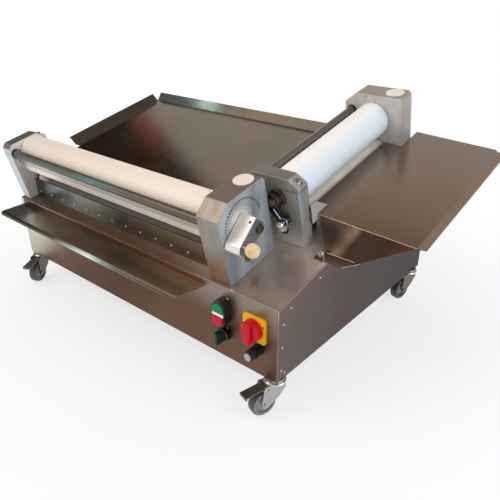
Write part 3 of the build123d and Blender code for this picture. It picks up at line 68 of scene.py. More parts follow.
# The cabinet's front left bottom corner is the solids' zero point while they are modelled
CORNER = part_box("base_plate")[0] - Vector((SHEET, SHEET, 0)) * MM
MACHINE = Matrix.Translation(CORNER) @ Matrix.Scale(MM, 4)
DECK = MACHINE @ Matrix.Translation((0, 0, FRONT_HEIGHT)) @ Matrix.Rotation(DECK_SLOPE, 4, "X")
FRONT_STATION = DECK @ Matrix.Translation((0, FRONT_AXIS_V, 0))
TRAY = DECK @ Matrix.Translation(TRAY_LEFT) @ Matrix.Rotation(TRAY_SLOPE, 4, "Y")
UNDERSIDE = MACHINE @ Vector((CABINET_WIDTH / 2, DECK_LENGTH / 2, 0))
WIDE = (CORNER.x, CORNER.x + CABINET_WIDTH * MM)
DEEP = (CORNER.y, CORNER.y + CABINET_DEPTH * MM)

# Scales of the noises along X, Y and Z
ALONG_X = (5.0, 620.0, 620.0)
ALONG_Y = (620.0, 5.0, 620.0)
GROUND_X = (30.0, 300.0, 300.0)
TURNED_X = (700.0, 30.0, 30.0)
TURNED_Y = (30.0, 700.0, 30.0)
LEVER_GRAIN = (240.0, 24.0, 240.0)
CUTTER_GRAIN = (240.0, 240.0, 7.0)
CUTTER_SWIRL = (30.0, 30.0, 9.0)
BALL_GRAIN = (40.0, 320.0, 320.0)
BALL_TURN = 0.4
EVEN = (90.0,) * 3
METAL_CLOUDS = (6.0,) * 3
METAL_MARKS = (34.0,) * 3
PLASTIC_CLOUDS = (14.0,) * 3
PLASTIC_GRAIN = (60.0,) * 3
FINE_GRAIN = (240.0,) * 3
TYRE_GRAIN = (300.0,) * 3

# Part of a noise's range that is put to use
NOISE_SPAN = (0.3, 0.7)
CLOUD_SPAN = (0.35, 0.65)
SWIRL_SPAN = (0.32, 0.68)

# Depth of the fine relief and rounds on the edges, in metres, and strengths of the relief
RELIEF_DEPTH = 0.0002
METAL_EDGE = 0.0009
BROAD_EDGE = 0.0012
HEM_EDGE = 0.0003
PLASTIC_EDGE = 0.0006
BALL_EDGE = 0.0004
METAL_RELIEF = 0.03
PLASTIC_RELIEF = 0.06
ROLLER_RELIEF = 0.04
TYRE_RELIEF = 0.08
BALL_RELIEF = 0.05

# How much clouds change a metal's colour, how grain and marks share its roughness, how metallic
# the tray's upright edges are, and the ball's roughness
CLOUD_AMOUNT = 0.05
GRAIN_WEAR = 0.4
MARK_WEAR = 0.6
UPRIGHT_METALLIC = 0.3
BALL_ROUGH = (0.34, 0.46)

# Where a finish changes, in millimetres from the cabinet's corner. A pair runs from none of it to
# all of it. All but SELECTOR_GRIP are edges of painted reflections, highlights and shade. The front
# panel's tones lean by FRONT_LEAN from their places at FRONT_LEVEL.
FRONT_LEVEL = 60.0
FRONT_LEAN = 1.1
FRONT_GREY_HEIGHT = (70.0, 140.0)
FRONT_GREY_SIDE = (440.0, 640.0)
FRONT_GREY_SHARE = 0.75
DECK_BEFORE_APRON = (70.0, 50.0)
DECK_LEFT = (640.0, 500.0)
SELECTOR_GRIP = (-10.1, -10.5)
TRAY_FRONT = 180.0
LIP_FRONT = (-44.0, -50.0)
HEM_HIGH = (110.0, 142.0)
HEM_RIGHT = (500.0, 660.0)
BLOCK_IN_FRONT = (150.0, 140.0)
BLOCK_AT_LEFT = (100.0, 60.0)
BLOCK_FOOT = (225.0, 165.0)

# The same in metres on the deck: along U for the skirt, whose tones lean too, and W for the
# scraper. The skirt's tones are painted reflections and the scraper's bend carries a painted
# highlight.
SKIRT_SPAN = (0.7, 0.9)
SKIRT_LEAN = 0.6
SCRAPER_BEND = (0.088, 0.094)

# The same in metres from a middle, and from the ball's middle in its own radii. CRANK_HUB bounds a
# painted reflection on the crank's hub and BLOCK_GLOW_SPAN the painted highlight on the block.
WHEEL_HUB = (0.0125, 0.0135)
WHEEL_TREAD = (0.0236, 0.0246)
CRANK_HUB = (0.0155, 0.0145)
BLOCK_GLOW_SPAN = (0.034, 0.012)
BALL_END = (1.01, 1.03)

# Middle of the painted highlight on the right front block, in the front station's millimetres
BLOCK_GLOW = (BLOCK_FACE, -6.0, 104.0)

# How far a face is turned along an axis where a finish changes. These switch between painted light,
# shade and reflection on faces of one material.
OUTER_SIDE = (-0.5, 0.5)
ROLLER_SIDE = (0.1, 0.95)
LEFT_FLANGE = (0.35, 0.6)
BACK_FLANGE = (-0.35, -0.6)
SKIRT_FACE = (-0.4, -0.7)
SKIRT_END = (-0.05, -0.1)
UPRIGHT_EDGE = (0.5, 0.8)
ROLLED_LIP = (-0.2, -0.45)
LEVER_END = (0.8, 0.95)
CRANK_EDGE_FROM = (0.35, 0.5)
CRANK_EDGE_TO = (0.92, 0.86)
BLOCK_RIGHT = (0.5, 0.9)
BLOCK_SLANT = (0.3, 0.5)
BLOCK_TOP = (0.86, 0.95)

# Tones that a sheet runs through, each at its share of the way. They are painted reflections and
# shade on the metal.
FRONT_TONES = (
    (0.0, (216, 214, 202)),
    (0.09, (196, 189, 175)),
    (0.19, (130, 107, 91)),
    (0.24, (108, 83, 67)),
    (0.32, (90, 64, 48)),
    (0.5, (91, 62, 43)),
    (0.68, (105, 78, 60)),
    (1.0, (110, 84, 68)),
)
DECK_TONES = (
    (0.0, (166, 147, 132)),
    (0.1, (168, 152, 140)),
    (0.24, (212, 194, 181)),
    (0.6, (214, 202, 192)),
)
SIDE_TONES = ((0.0, (120, 106, 101)), (0.4, (100, 89, 87)), (1.0, (80, 76, 77)))
TRAY_TONES = ((0.0, (128, 106, 91)), (0.3, (150, 130, 115)), (1.0, (160, 150, 142)))
SKIRT_TONES = (
    (0.0, (116, 101, 91)),
    (0.3, (100, 85, 75)),
    (0.4, (146, 118, 99)),
    (0.47, (74, 59, 52)),
    (0.75, (72, 53, 43)),
    (0.93, (108, 63, 36)),
)
BLOCK_TOP_TONES = ((0.15, (112, 99, 89)), (0.4, (136, 126, 118)), (0.9, (164, 149, 137)))

# Tones across the cabinet, each at its place in millimetres. They are painted reflections, with
# pale and cool patches as painted highlights; the lower roller's tones are painted shade.
APRON_TONES = (
    (31.2, (80, 90, 84)),
    (101.4, (98, 107, 102)),
    (195, (172, 181, 176)),
    (257.4, (150, 156, 150)),
    (351, (92, 92, 85)),
    (413.4, (112, 104, 95)),
    (483.6, (126, 115, 103)),
)
BAR_TONES = (
    (39, (108, 104, 98)),
    (234, (105, 109, 103)),
    (327.6, (110, 134, 126)),
    (436.8, (110, 101, 90)),
)
FLANGE_TONES = (
    (60, (124, 130, 125)),
    (200, (122, 126, 119)),
    (240, (100, 96, 87)),
    (300, (80, 71, 61)),
)
SHELF_TONES = (
    (12, (76, 66, 57)),
    (45, (98, 92, 84)),
    (70, (100, 97, 91)),
    (100, (196, 187, 173)),
    (150, (204, 194, 177)),
    (260, (142, 126, 110)),
    (420, (134, 116, 100)),
    (600, (168, 148, 128)),
)
LIP_TONES = (
    (150, (74, 66, 56)),
    (225, (92, 88, 78)),
    (290, (176, 188, 182)),
    (350, (238, 252, 248)),
    (395, (154, 162, 154)),
    (440, (106, 104, 93)),
    (580, (100, 84, 68)),
)
# Front lower roller: cream at its left end, then dark painted shade
LOWER_ROLLER_SHADE_TONES = ((50, (232, 214, 198)), (90, (84, 72, 60)), (780, (78, 66, 54)))

# Dark and light tones of the milled swirl, by face; the faces of one aluminium differ by painted
# light and shade
BLOCK_TONES = {
    "front": ((138, 133, 125), (154, 149, 142)),
    "behind": ((206, 200, 193), (226, 221, 215)),
    "blue": ((132, 138, 147), (172, 178, 186)),
    "plain": ((150, 145, 140), (170, 165, 160)),
    "slant": ((148, 134, 122), (174, 160, 147)),
}
# Face and tread of the front and back wheels; the back wheels are the same rubber painted darker as
# shade
WHEEL_TONES = {
    "front": ((126, 123, 126), (70, 78, 86)),
    "back": ((58, 70, 78), (42, 54, 64)),
}

# Sockets of the mix node for colours
MIX_SHARE, MIX_LOW, MIX_HIGH, MIX_RESULT = 0, 6, 7, 2


def tone(red, green, blue):
    """Colour as seen on a screen, 0 to 255, to the linear colour that a shader takes."""
    made = []
    for part in (red, green, blue):
        share = part / 255
        made.append(share / 12.92 if share <= 0.04045 else ((share + 0.055) / 1.055) ** 2.4)
    return (*made, 1.0)


def add(tree, kind, inputs=None, **settings):
    """Node with its settings; an input takes a value or another node's output."""
    node = tree.nodes.new(kind)
    for name, value in settings.items():
        setattr(node, name, value)
    for name, value in (inputs or {}).items():
        if isinstance(value, bpy.types.NodeSocket):
            tree.links.new(value, node.inputs[name])
        else:
            node.inputs[name].default_value = value
    return node


def mixed(tree, share, low, high, blend="MIX"):
    """Mix of two colours; low and high are colours or sockets."""
    inputs = {MIX_SHARE: share, MIX_LOW: low, MIX_HIGH: high}
    node = add(tree, "ShaderNodeMix", inputs, data_type="RGBA", blend_type=blend)
    return node.outputs[MIX_RESULT]


def ranged(tree, value, low, high, to_low=0.0, to_high=1.0):
    """Value between low and high, eased, as a value between to_low and to_high."""
    node = add(
        tree,
        "ShaderNodeMapRange",
        {"Value": value, "From Min": low, "From Max": high, "To Min": to_low, "To Max": to_high},
        interpolation_type="SMOOTHSTEP",
    )
    return node.outputs["Result"]


def between(tree, value, low, high):
    """Value as a share of the way from low to high."""
    inputs = {"Value": value, "From Min": low, "From Max": high}
    return add(tree, "ShaderNodeMapRange", inputs).outputs["Result"]


def math_node(tree, operation, first, second=0.0):
    """Result of an operation on one or two values."""
    return add(tree, "ShaderNodeMath", {0: first, 1: second}, operation=operation).outputs[0]


def both(tree, *shares):
    """Product of shares."""
    made = shares[0]
    for share in shares[1:]:
        made = math_node(tree, "MULTIPLY", made, share)
    return made


def vector_math(tree, operation, first, second=(0, 0, 0)):
    """Outputs of an operation on one or two vectors."""
    node = add(tree, "ShaderNodeVectorMath", {0: first, 1: second}, operation=operation)
    return node.outputs


def distance(tree, vector, spot):
    """Distance of a vector from a spot."""
    return vector_math(tree, "DISTANCE", vector, spot)["Value"]


def parts(tree, vector):
    """X, Y and Z of a vector."""
    return add(tree, "ShaderNodeSeparateXYZ", {"Vector": vector}).outputs


def facing_parts(tree):
    """Direction that the surface faces."""
    return parts(tree, add(tree, "ShaderNodeNewGeometry").outputs["Normal"])


def deck_parts(tree, coords):
    """Place on the deck in metres: X right, Y up the slope, Z away from the deck."""
    flat = add(
        tree,
        "ShaderNodeMapping",
        {"Vector": coords, "Location": DECK.translation, "Rotation": (DECK_SLOPE, 0, 0)},
        vector_type="TEXTURE",
    )
    return parts(tree, flat.outputs["Vector"])


def zone(tree, place, axis, span, *ends):
    """Share of the way over a span, in millimetres from the cabinet's corner along an axis."""
    zero = CORNER["XYZ".index(axis)]
    return ranged(tree, place[axis], *(zero + part * MM for part in span), *ends)


def stretched_noise(tree, coords, scale, turn=0.0, detail=4.0):
    """Noise on object coordinates, stretched by its three scales and turned about X."""
    inputs = {"Vector": coords, "Rotation": (turn, 0, 0), "Scale": scale}
    mapping = add(tree, "ShaderNodeMapping", inputs)
    inputs = {"Vector": mapping.outputs["Vector"], "Scale": 1.0, "Detail": detail}
    return add(tree, "ShaderNodeTexNoise", inputs).outputs["Fac"]


def new_finish(name):
    """Empty material: its tree, its shader and its object coordinates."""
    finish = bpy.data.materials.new(name)
    finish.use_nodes = True
    tree = finish.node_tree
    shader = tree.nodes["Principled BSDF"]
    coords = add(tree, "ShaderNodeTexCoord").outputs["Object"]
    return finish, tree, shader, coords


def soften_edges(tree, shader, height, strength, radius):
    """Fine relief on the surface and a narrow round on its edges."""
    edge = add(tree, "ShaderNodeBevel", {"Radius": radius}, samples=4)
    bump = add(
        tree,
        "ShaderNodeBump",
        {
            "Height": height,
            "Strength": strength,
            "Distance": RELIEF_DEPTH,
            "Normal": edge.outputs["Normal"],
        },
    )
    tree.links.new(bump.outputs["Normal"], shader.inputs["Normal"])


def varied(tree, colour, noise, amount):
    """Colour made a little darker and lighter by a noise."""
    shade = ranged(tree, noise, *NOISE_SPAN, 1 - amount, 1 + amount)
    level = add(tree, "ShaderNodeCombineXYZ", {"X": shade, "Y": shade, "Z": shade})
    return mixed(tree, 1.0, colour, level.outputs["Vector"], "MULTIPLY")


def ramp(tree, share, tones):
    """Colour that runs through tones, each a place from 0 to 1 and a colour."""
    node = add(tree, "ShaderNodeValToRGB", {"Fac": share})
    steps = node.color_ramp.elements
    while len(steps) < len(tones):
        steps.new(1.0)
    for step, (place, colour) in zip(steps, tones):
        step.position = place
        step.color = tone(*colour)
    return node.outputs["Color"]


def across(tree, coords, tones):
    """Colour that runs through tones, each a place in millimetres across the cabinet."""
    share = between(tree, parts(tree, coords)["X"], *WIDE)
    return ramp(tree, share, [(place / CABINET_WIDTH, colour) for place, colour in tones])


def drawn_metal(
    tree,
    shader,
    coords,
    colour,
    grain,
    turn=0.0,
    rough=(0.2, 0.3),
    streak=0.04,
    radius=METAL_EDGE,
    metallic=1.0,
):
    """Metal of a colour with a fine drawn grain, faint clouds, handling marks and soft edges."""
    fine = stretched_noise(tree, coords, grain, turn)
    clouds = stretched_noise(tree, coords, METAL_CLOUDS)
    marks = stretched_noise(tree, coords, METAL_MARKS, detail=5.0)
    shaded = varied(tree, varied(tree, colour, clouds, CLOUD_AMOUNT), fine, streak)
    tree.links.new(shaded, shader.inputs["Base Color"])
    grain_part = math_node(tree, "MULTIPLY", fine, GRAIN_WEAR)
    mark_part = math_node(tree, "MULTIPLY", marks, MARK_WEAR)
    worn = math_node(tree, "ADD", grain_part, mark_part)
    tree.links.new(ranged(tree, worn, *NOISE_SPAN, *rough), shader.inputs["Roughness"])
    shader.inputs["Metallic"].default_value = metallic
    soften_edges(tree, shader, fine, METAL_RELIEF, radius)


def moulded(tree, shader, colour, fine, rough, relief):
    """Plastic of a colour whose roughness and relief follow a fine noise."""
    tree.links.new(colour, shader.inputs["Base Color"])
    tree.links.new(ranged(tree, fine, *NOISE_SPAN, *rough), shader.inputs["Roughness"])
    soften_edges(tree, shader, fine, relief, PLASTIC_EDGE)


def metal_finish(name, colour, grain, **more):
    """Metal of one colour. grain holds the noise scale along each axis."""
    finish, tree, shader, coords = new_finish(name)
    drawn_metal(tree, shader, coords, tone(*colour), grain, **more)
    return finish


def wide_finish(name, tones, grain, **more):
    """Metal whose colour runs through tones across the cabinet."""
    finish, tree, shader, coords = new_finish(name)
    drawn_metal(tree, shader, coords, across(tree, coords, tones), grain, **more)
    return finish


def front_finish():
    """Front panel: painted reflections on brushed steel, brown, pale at the left end, grey along
    its top at the right.
    """
    finish, tree, shader, coords = new_finish("brushed_front_panel")
    place = parts(tree, coords)
    level = math_node(tree, "SUBTRACT", place["Z"], CORNER.z + FRONT_LEVEL * MM)
    shift = math_node(tree, "MULTIPLY", level, FRONT_LEAN)
    slanted = math_node(tree, "SUBTRACT", place["X"], shift)
    # Painted reflections: brown across the panel, pale at its left end, leaning with height, and
    # grey along the top at the right
    brown = ramp(tree, between(tree, slanted, *WIDE), FRONT_TONES)
    high = zone(tree, place, "Z", FRONT_GREY_HEIGHT, 0.0, FRONT_GREY_SHARE)
    right = zone(tree, place, "X", FRONT_GREY_SIDE)
    colour = mixed(tree, both(tree, high, right), brown, tone(158, 147, 136))
    drawn_metal(tree, shader, coords, colour, ALONG_X, rough=(0.36, 0.46), radius=BROAD_EDGE)
    return finish


def deck_finish():
    """Deck: brown-grey, with painted reflections that make it paler up the slope and browner in
    front of the apron.
    """
    finish, tree, shader, coords = new_finish("brushed_deck")
    place = parts(tree, coords)
    # Painted reflections: paler up the slope, browner in front of the apron
    colour = ramp(tree, between(tree, place["Y"], *DEEP), DECK_TONES)
    before = zone(tree, place, "Y", DECK_BEFORE_APRON)
    left = zone(tree, place, "X", DECK_LEFT)
    colour = mixed(tree, both(tree, before, left), colour, tone(122, 94, 79))
    more = {"rough": (0.2, 0.27), "streak": 0.025, "metallic": 0.65}
    drawn_metal(tree, shader, coords, colour, ALONG_X, DECK_SLOPE, **more)
    return finish


def side_finish():
    """Side panels: brown-grey; the right one carries a painted reflection, darker toward the back.
    """
    finish, tree, shader, coords = new_finish("brushed_side_panel")
    # Painted reflection on the right panel, darker toward the back
    right = ramp(tree, between(tree, parts(tree, coords)["Y"], *DEEP), SIDE_TONES)
    outer = ranged(tree, facing_parts(tree)["X"], *OUTER_SIDE)
    colour = mixed(tree, outer, tone(142, 134, 127), right)
    drawn_metal(tree, shader, coords, colour, ALONG_Y)
    shader.inputs["Specular Tint"].default_value = (0.6, 0.6, 0.6, 1)
    return finish


def table_finish():
    """Table: grey-brown, with painted reflections: a darker left flange and a cooler back one."""
    finish, tree, shader, coords = new_finish("brushed_table")
    facing = facing_parts(tree)
    left = ranged(tree, facing["X"], *LEFT_FLANGE)
    back = ranged(tree, facing["Y"], *BACK_FLANGE)
    # Painted reflections: darker left flange, and the back flange's tones across the cabinet
    colour = mixed(tree, left, tone(146, 136, 127), tone(86, 76, 67))
    colour = mixed(tree, back, colour, across(tree, coords, FLANGE_TONES))
    more = {"rough": (0.1, 0.15), "streak": 0.03}
    drawn_metal(tree, shader, coords, colour, ALONG_X, DECK_SLOPE, **more)
    return finish


def tray_finish():
    """Infeed tray: painted reflections, brown toward the front and a streaked skirt, and pale
    upright edges as painted highlights.
    """
    finish, tree, shader, coords = new_finish("brushed_infeed_tray")
    facing = facing_parts(tree)
    along = between(tree, parts(tree, coords)["Y"], CORNER.y + TRAY_FRONT * MM, DEEP[1])
    # Painted reflections: brown toward the front, paler toward the back, and the skirt's streaks
    top = ramp(tree, along, TRAY_TONES)
    deck = deck_parts(tree, coords)
    shift = math_node(tree, "MULTIPLY", deck["Z"], SKIRT_LEAN)
    slanted = math_node(tree, "SUBTRACT", deck["X"], shift)
    skirt = ramp(tree, between(tree, slanted, *SKIRT_SPAN), SKIRT_TONES)
    colour = mixed(tree, ranged(tree, facing["Y"], *SKIRT_FACE), top, skirt)
    skirt_end = ranged(tree, facing["X"], *SKIRT_END)
    colour = mixed(tree, skirt_end, colour, tone(158, 138, 123))
    # Painted highlight on the upright edges
    upright = ranged(tree, facing["X"], *UPRIGHT_EDGE)
    colour = mixed(tree, upright, colour, tone(196, 191, 188))
    drawn_metal(tree, shader, coords, colour, ALONG_Y, rough=(0.18, 0.26), streak=0.03)
    metallic = ranged(tree, upright, 0.0, 1.0, 1.0, UPRIGHT_METALLIC)
    tree.links.new(metallic, shader.inputs["Metallic"])
    return finish


def catch_finish():
    """Catch tray: brown, with painted reflections: paler toward the left, a cool painted highlight
    on part of its rolled lip and painted shade on faces turned to the front.
    """
    finish, tree, shader, coords = new_finish("brushed_catch_tray")
    front = zone(tree, parts(tree, coords), "Y", LIP_FRONT)
    rolled = ranged(tree, facing_parts(tree)["Y"], *ROLLED_LIP)
    # Painted reflection paler toward the left; faces turned to the front get a darker brown of
    # painted shade
    colour = mixed(tree, rolled, across(tree, coords, SHELF_TONES), tone(112, 84, 66))
    # Painted highlight: cool light across part of the rolled lip
    lip = across(tree, coords, LIP_TONES)
    colour = mixed(tree, both(tree, front, rolled), colour, lip)
    drawn_metal(tree, shader, coords, colour, ALONG_X, rough=(0.27, 0.31), streak=0.02)
    return finish


def hem_finish():
    """Folded edges: a painted highlight, bright, duller at the left and down the front corner."""
    finish, tree, shader, coords = new_finish("bright_hem")
    place = parts(tree, coords)
    high = zone(tree, place, "Z", HEM_HIGH)
    right = zone(tree, place, "X", HEM_RIGHT)
    colour = mixed(tree, right, tone(132, 112, 98), tone(206, 186, 169))
    colour = mixed(tree, high, tone(140, 122, 111), colour)
    drawn_metal(tree, shader, coords, colour, EVEN, rough=(0.3, 0.4), radius=HEM_EDGE)
    return finish


def scraper_finish():
    """Scraper strip: grey above, with a painted highlight along its bent lower edge."""
    finish, tree, shader, coords = new_finish("bright_scraper_strip")
    high = ranged(tree, deck_parts(tree, coords)["Z"], *SCRAPER_BEND)
    # Painted highlight along the bent lower edge
    colour = mixed(tree, high, tone(228, 214, 204), tone(178, 174, 169))
    drawn_metal(tree, shader, coords, colour, ALONG_X, rough=(0.24, 0.34))
    return finish


def lever_finish():
    """Front gap lever: warm bright sides as painted light and darker flat ends, turned along X, as
    painted shade.
    """
    finish, tree, shader, coords = new_finish("milled_lever")
    end = ranged(tree, math_node(tree, "ABSOLUTE", facing_parts(tree)["X"]), *LEVER_END)
    # Painted light and shade: bright sides, dark faces turned along X
    colour = mixed(tree, end, tone(238, 228, 219), tone(108, 111, 114))
    more = {"rough": (0.3, 0.42), "metallic": 0.5}
    drawn_metal(tree, shader, coords, colour, LEVER_GRAIN, DECK_SLOPE, **more)
    return finish


def crank_finish():
    """Right gap lever: dark faces, painted highlights on its broken edges and a brown painted
    reflection on its hub.
    """
    finish, tree, shader, coords = new_finish("dark_crank")
    side = math_node(tree, "ABSOLUTE", facing_parts(tree)["Y"])
    edge = both(tree, ranged(tree, side, *CRANK_EDGE_FROM), ranged(tree, side, *CRANK_EDGE_TO))
    # Painted highlight on faces turned partly along Y, the broken edges
    colour = mixed(tree, edge, tone(70, 80, 92), tone(226, 234, 240))
    deck = deck_parts(tree, coords)
    place = add(tree, "ShaderNodeCombineXYZ", {"X": deck["X"], "Z": deck["Z"]})
    middle = (RIGHT_AXIS_U * MM, 0, PIVOT_W * MM)
    away = distance(tree, place.outputs["Vector"], middle)
    # Painted reflection: brown round the hub
    colour = mixed(tree, ranged(tree, away, *CRANK_HUB), colour, tone(104, 80, 76))
    drawn_metal(tree, shader, coords, colour, EVEN, rough=(0.24, 0.36))
    return finish


def block_finish():
    """Milled aluminium with painted light and shade by face: bluish at the right with a painted
    highlight, beige slants, browner tops, a brown foot in front.
    """
    finish, tree, shader, coords = new_finish("milled_aluminium")
    facing = facing_parts(tree)
    place = parts(tree, coords)
    noise = stretched_noise(tree, coords, CUTTER_SWIRL, DECK_SLOPE)
    swirl = ranged(tree, noise, *SWIRL_SPAN)
    milled = {
        face: mixed(tree, swirl, tone(*dark), tone(*light))
        for face, (dark, light) in BLOCK_TONES.items()
    }
    in_front = zone(tree, place, "Y", BLOCK_IN_FRONT)
    at_left = zone(tree, place, "X", BLOCK_AT_LEFT)
    left_block = both(tree, in_front, at_left)
    right_block = both(tree, in_front, math_node(tree, "SUBTRACT", 1.0, at_left))
    foot = both(tree, right_block, zone(tree, place, "Z", BLOCK_FOOT))
    # Faces turned to the front: paler painted light on the far blocks, a brown painted reflection
    # low on the right front block, pale painted light on the thin left block
    front = mixed(tree, in_front, milled["behind"], milled["front"])
    front = mixed(tree, foot, front, tone(124, 86, 66))
    front = mixed(tree, left_block, front, tone(206, 213, 216))
    # Faces turned to the right: a painted highlight on the right front block, and the thin left
    # block's inner face painted pale against the roller's shade
    away = distance(tree, coords, FRONT_STATION @ Vector(BLOCK_GLOW))
    glow = ranged(tree, away, *BLOCK_GLOW_SPAN)
    blue = mixed(tree, glow, milled["blue"], tone(236, 232, 226))
    right = mixed(tree, right_block, milled["plain"], blue)
    right = mixed(tree, left_block, right, tone(232, 227, 223))
    # Slants and tops: beige and brown tones painted as light and shade, darker toward the front on
    # the tops
    slant = mixed(tree, left_block, milled["slant"], tone(122, 104, 96))
    top = ramp(tree, between(tree, place["Y"], *DEEP), BLOCK_TOP_TONES)
    top = mixed(tree, left_block, top, tone(84, 77, 72))
    colour = mixed(tree, ranged(tree, facing["X"], *BLOCK_RIGHT), front, right)
    colour = mixed(tree, ranged(tree, facing["Z"], *BLOCK_SLANT), colour, slant)
    colour = mixed(tree, ranged(tree, facing["Z"], *BLOCK_TOP), colour, top)
    more = {"rough": (0.38, 0.48), "streak": 0.06, "radius": BROAD_EDGE, "metallic": 0.3}
    drawn_metal(tree, shader, coords, colour, CUTTER_GRAIN, DECK_SLOPE, **more)
    return finish


def plastic_finish(
    name, light, dark, rough, grain=PLASTIC_GRAIN, relief=PLASTIC_RELIEF, shine=0.5
):
    """Moulded or turned plastic: a little cloud in its colour, fine relief, soft edges."""
    finish, tree, shader, coords = new_finish(name)
    clouds = stretched_noise(tree, coords, PLASTIC_CLOUDS, detail=3.0)
    fine = stretched_noise(tree, coords, grain)
    colour = mixed(tree, ranged(tree, clouds, *CLOUD_SPAN), tone(*dark), tone(*light))
    moulded(tree, shader, colour, fine, rough, relief)
    shader.inputs["Specular IOR Level"].default_value = shine
    return finish


def selector_finish():
    """Selector: black skirt and a dark green grip."""
    finish, tree, shader, coords = new_finish("dark_green_selector")
    fine = stretched_noise(tree, coords, FINE_GRAIN)
    grip = zone(tree, parts(tree, coords), "Y", SELECTOR_GRIP)
    colour = mixed(tree, grip, tone(24, 24, 26), tone(12, 50, 30))
    colour = varied(tree, colour, fine, amount=0.1)
    moulded(tree, shader, colour, fine, (0.22, 0.36), PLASTIC_RELIEF)
    return finish


def wheel_finish(node, face, tread):
    """Grey wheel with a darker tread and a paler hub round its axle."""
    finish, tree, shader, coords = new_finish("grey_" + node)
    low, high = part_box(node)
    away = distance(tree, coords, (low + high) / 2)
    fine = stretched_noise(tree, coords, TYRE_GRAIN)
    hub = mixed(tree, fine, tone(160, 157, 156), tone(178, 175, 174))
    colour = mixed(tree, ranged(tree, away, *WHEEL_HUB), hub, tone(*face))
    colour = mixed(tree, ranged(tree, away, *WHEEL_TREAD), colour, tone(*tread))
    colour = varied(tree, colour, fine, amount=0.08)
    moulded(tree, shader, colour, fine, (0.36, 0.5), TYRE_RELIEF)
    return finish


def ball_finish():
    """Pale turned ball with a faint grain, on a steel pin."""
    finish, tree, shader, coords = new_finish("pale_turned_ball")
    noise = stretched_noise(tree, coords, BALL_GRAIN, BALL_TURN)
    grain = ranged(tree, noise, *NOISE_SPAN)
    away = distance(tree, coords, FRONT_STATION @ Vector(FRONT_KNOB))
    steel = ranged(tree, away, *(FRONT_KNOB_RADIUS * MM * part for part in BALL_END))
    ball = mixed(tree, grain, tone(222, 186, 140), tone(238, 209, 166))
    colour = mixed(tree, steel, ball, tone(132, 130, 126))
    tree.links.new(colour, shader.inputs["Base Color"])
    tree.links.new(steel, shader.inputs["Metallic"])
    tree.links.new(ranged(tree, grain, 0.0, 1.0, *BALL_ROUGH), shader.inputs["Roughness"])
    soften_edges(tree, shader, grain, BALL_RELIEF, BALL_EDGE)
    return finish


def roller_finish(name, grain, left, right, by_side=False):
    """Upper roller whose tint changes from end to end, or from its left side to its right one; the
    side-to-side change is a painted cool light on the right side.
    """
    finish, tree, shader, coords = new_finish(name)
    fine = stretched_noise(tree, coords, grain)
    if by_side:
        share = ranged(tree, facing_parts(tree)["X"], *ROLLER_SIDE)
    else:
        share = ranged(tree, parts(tree, coords)["X"], *WIDE)
    colour = mixed(tree, share, tone(*left), tone(*right))
    colour = varied(tree, colour, fine, amount=0.015)
    moulded(tree, shader, colour, fine, (0.36, 0.48), ROLLER_RELIEF)
    return finish


def lower_roller_finish():
    """Front lower roller: cream at its left end, painted shade along the rest."""
    finish, tree, shader, coords = new_finish("lower_roller_painted_shade")
    fine = stretched_noise(tree, coords, TURNED_X)
    colour = varied(tree, across(tree, coords, LOWER_ROLLER_SHADE_TONES), fine, amount=0.05)
    moulded(tree, shader, colour, fine, (0.4, 0.52), ROLLER_RELIEF)
    return finish


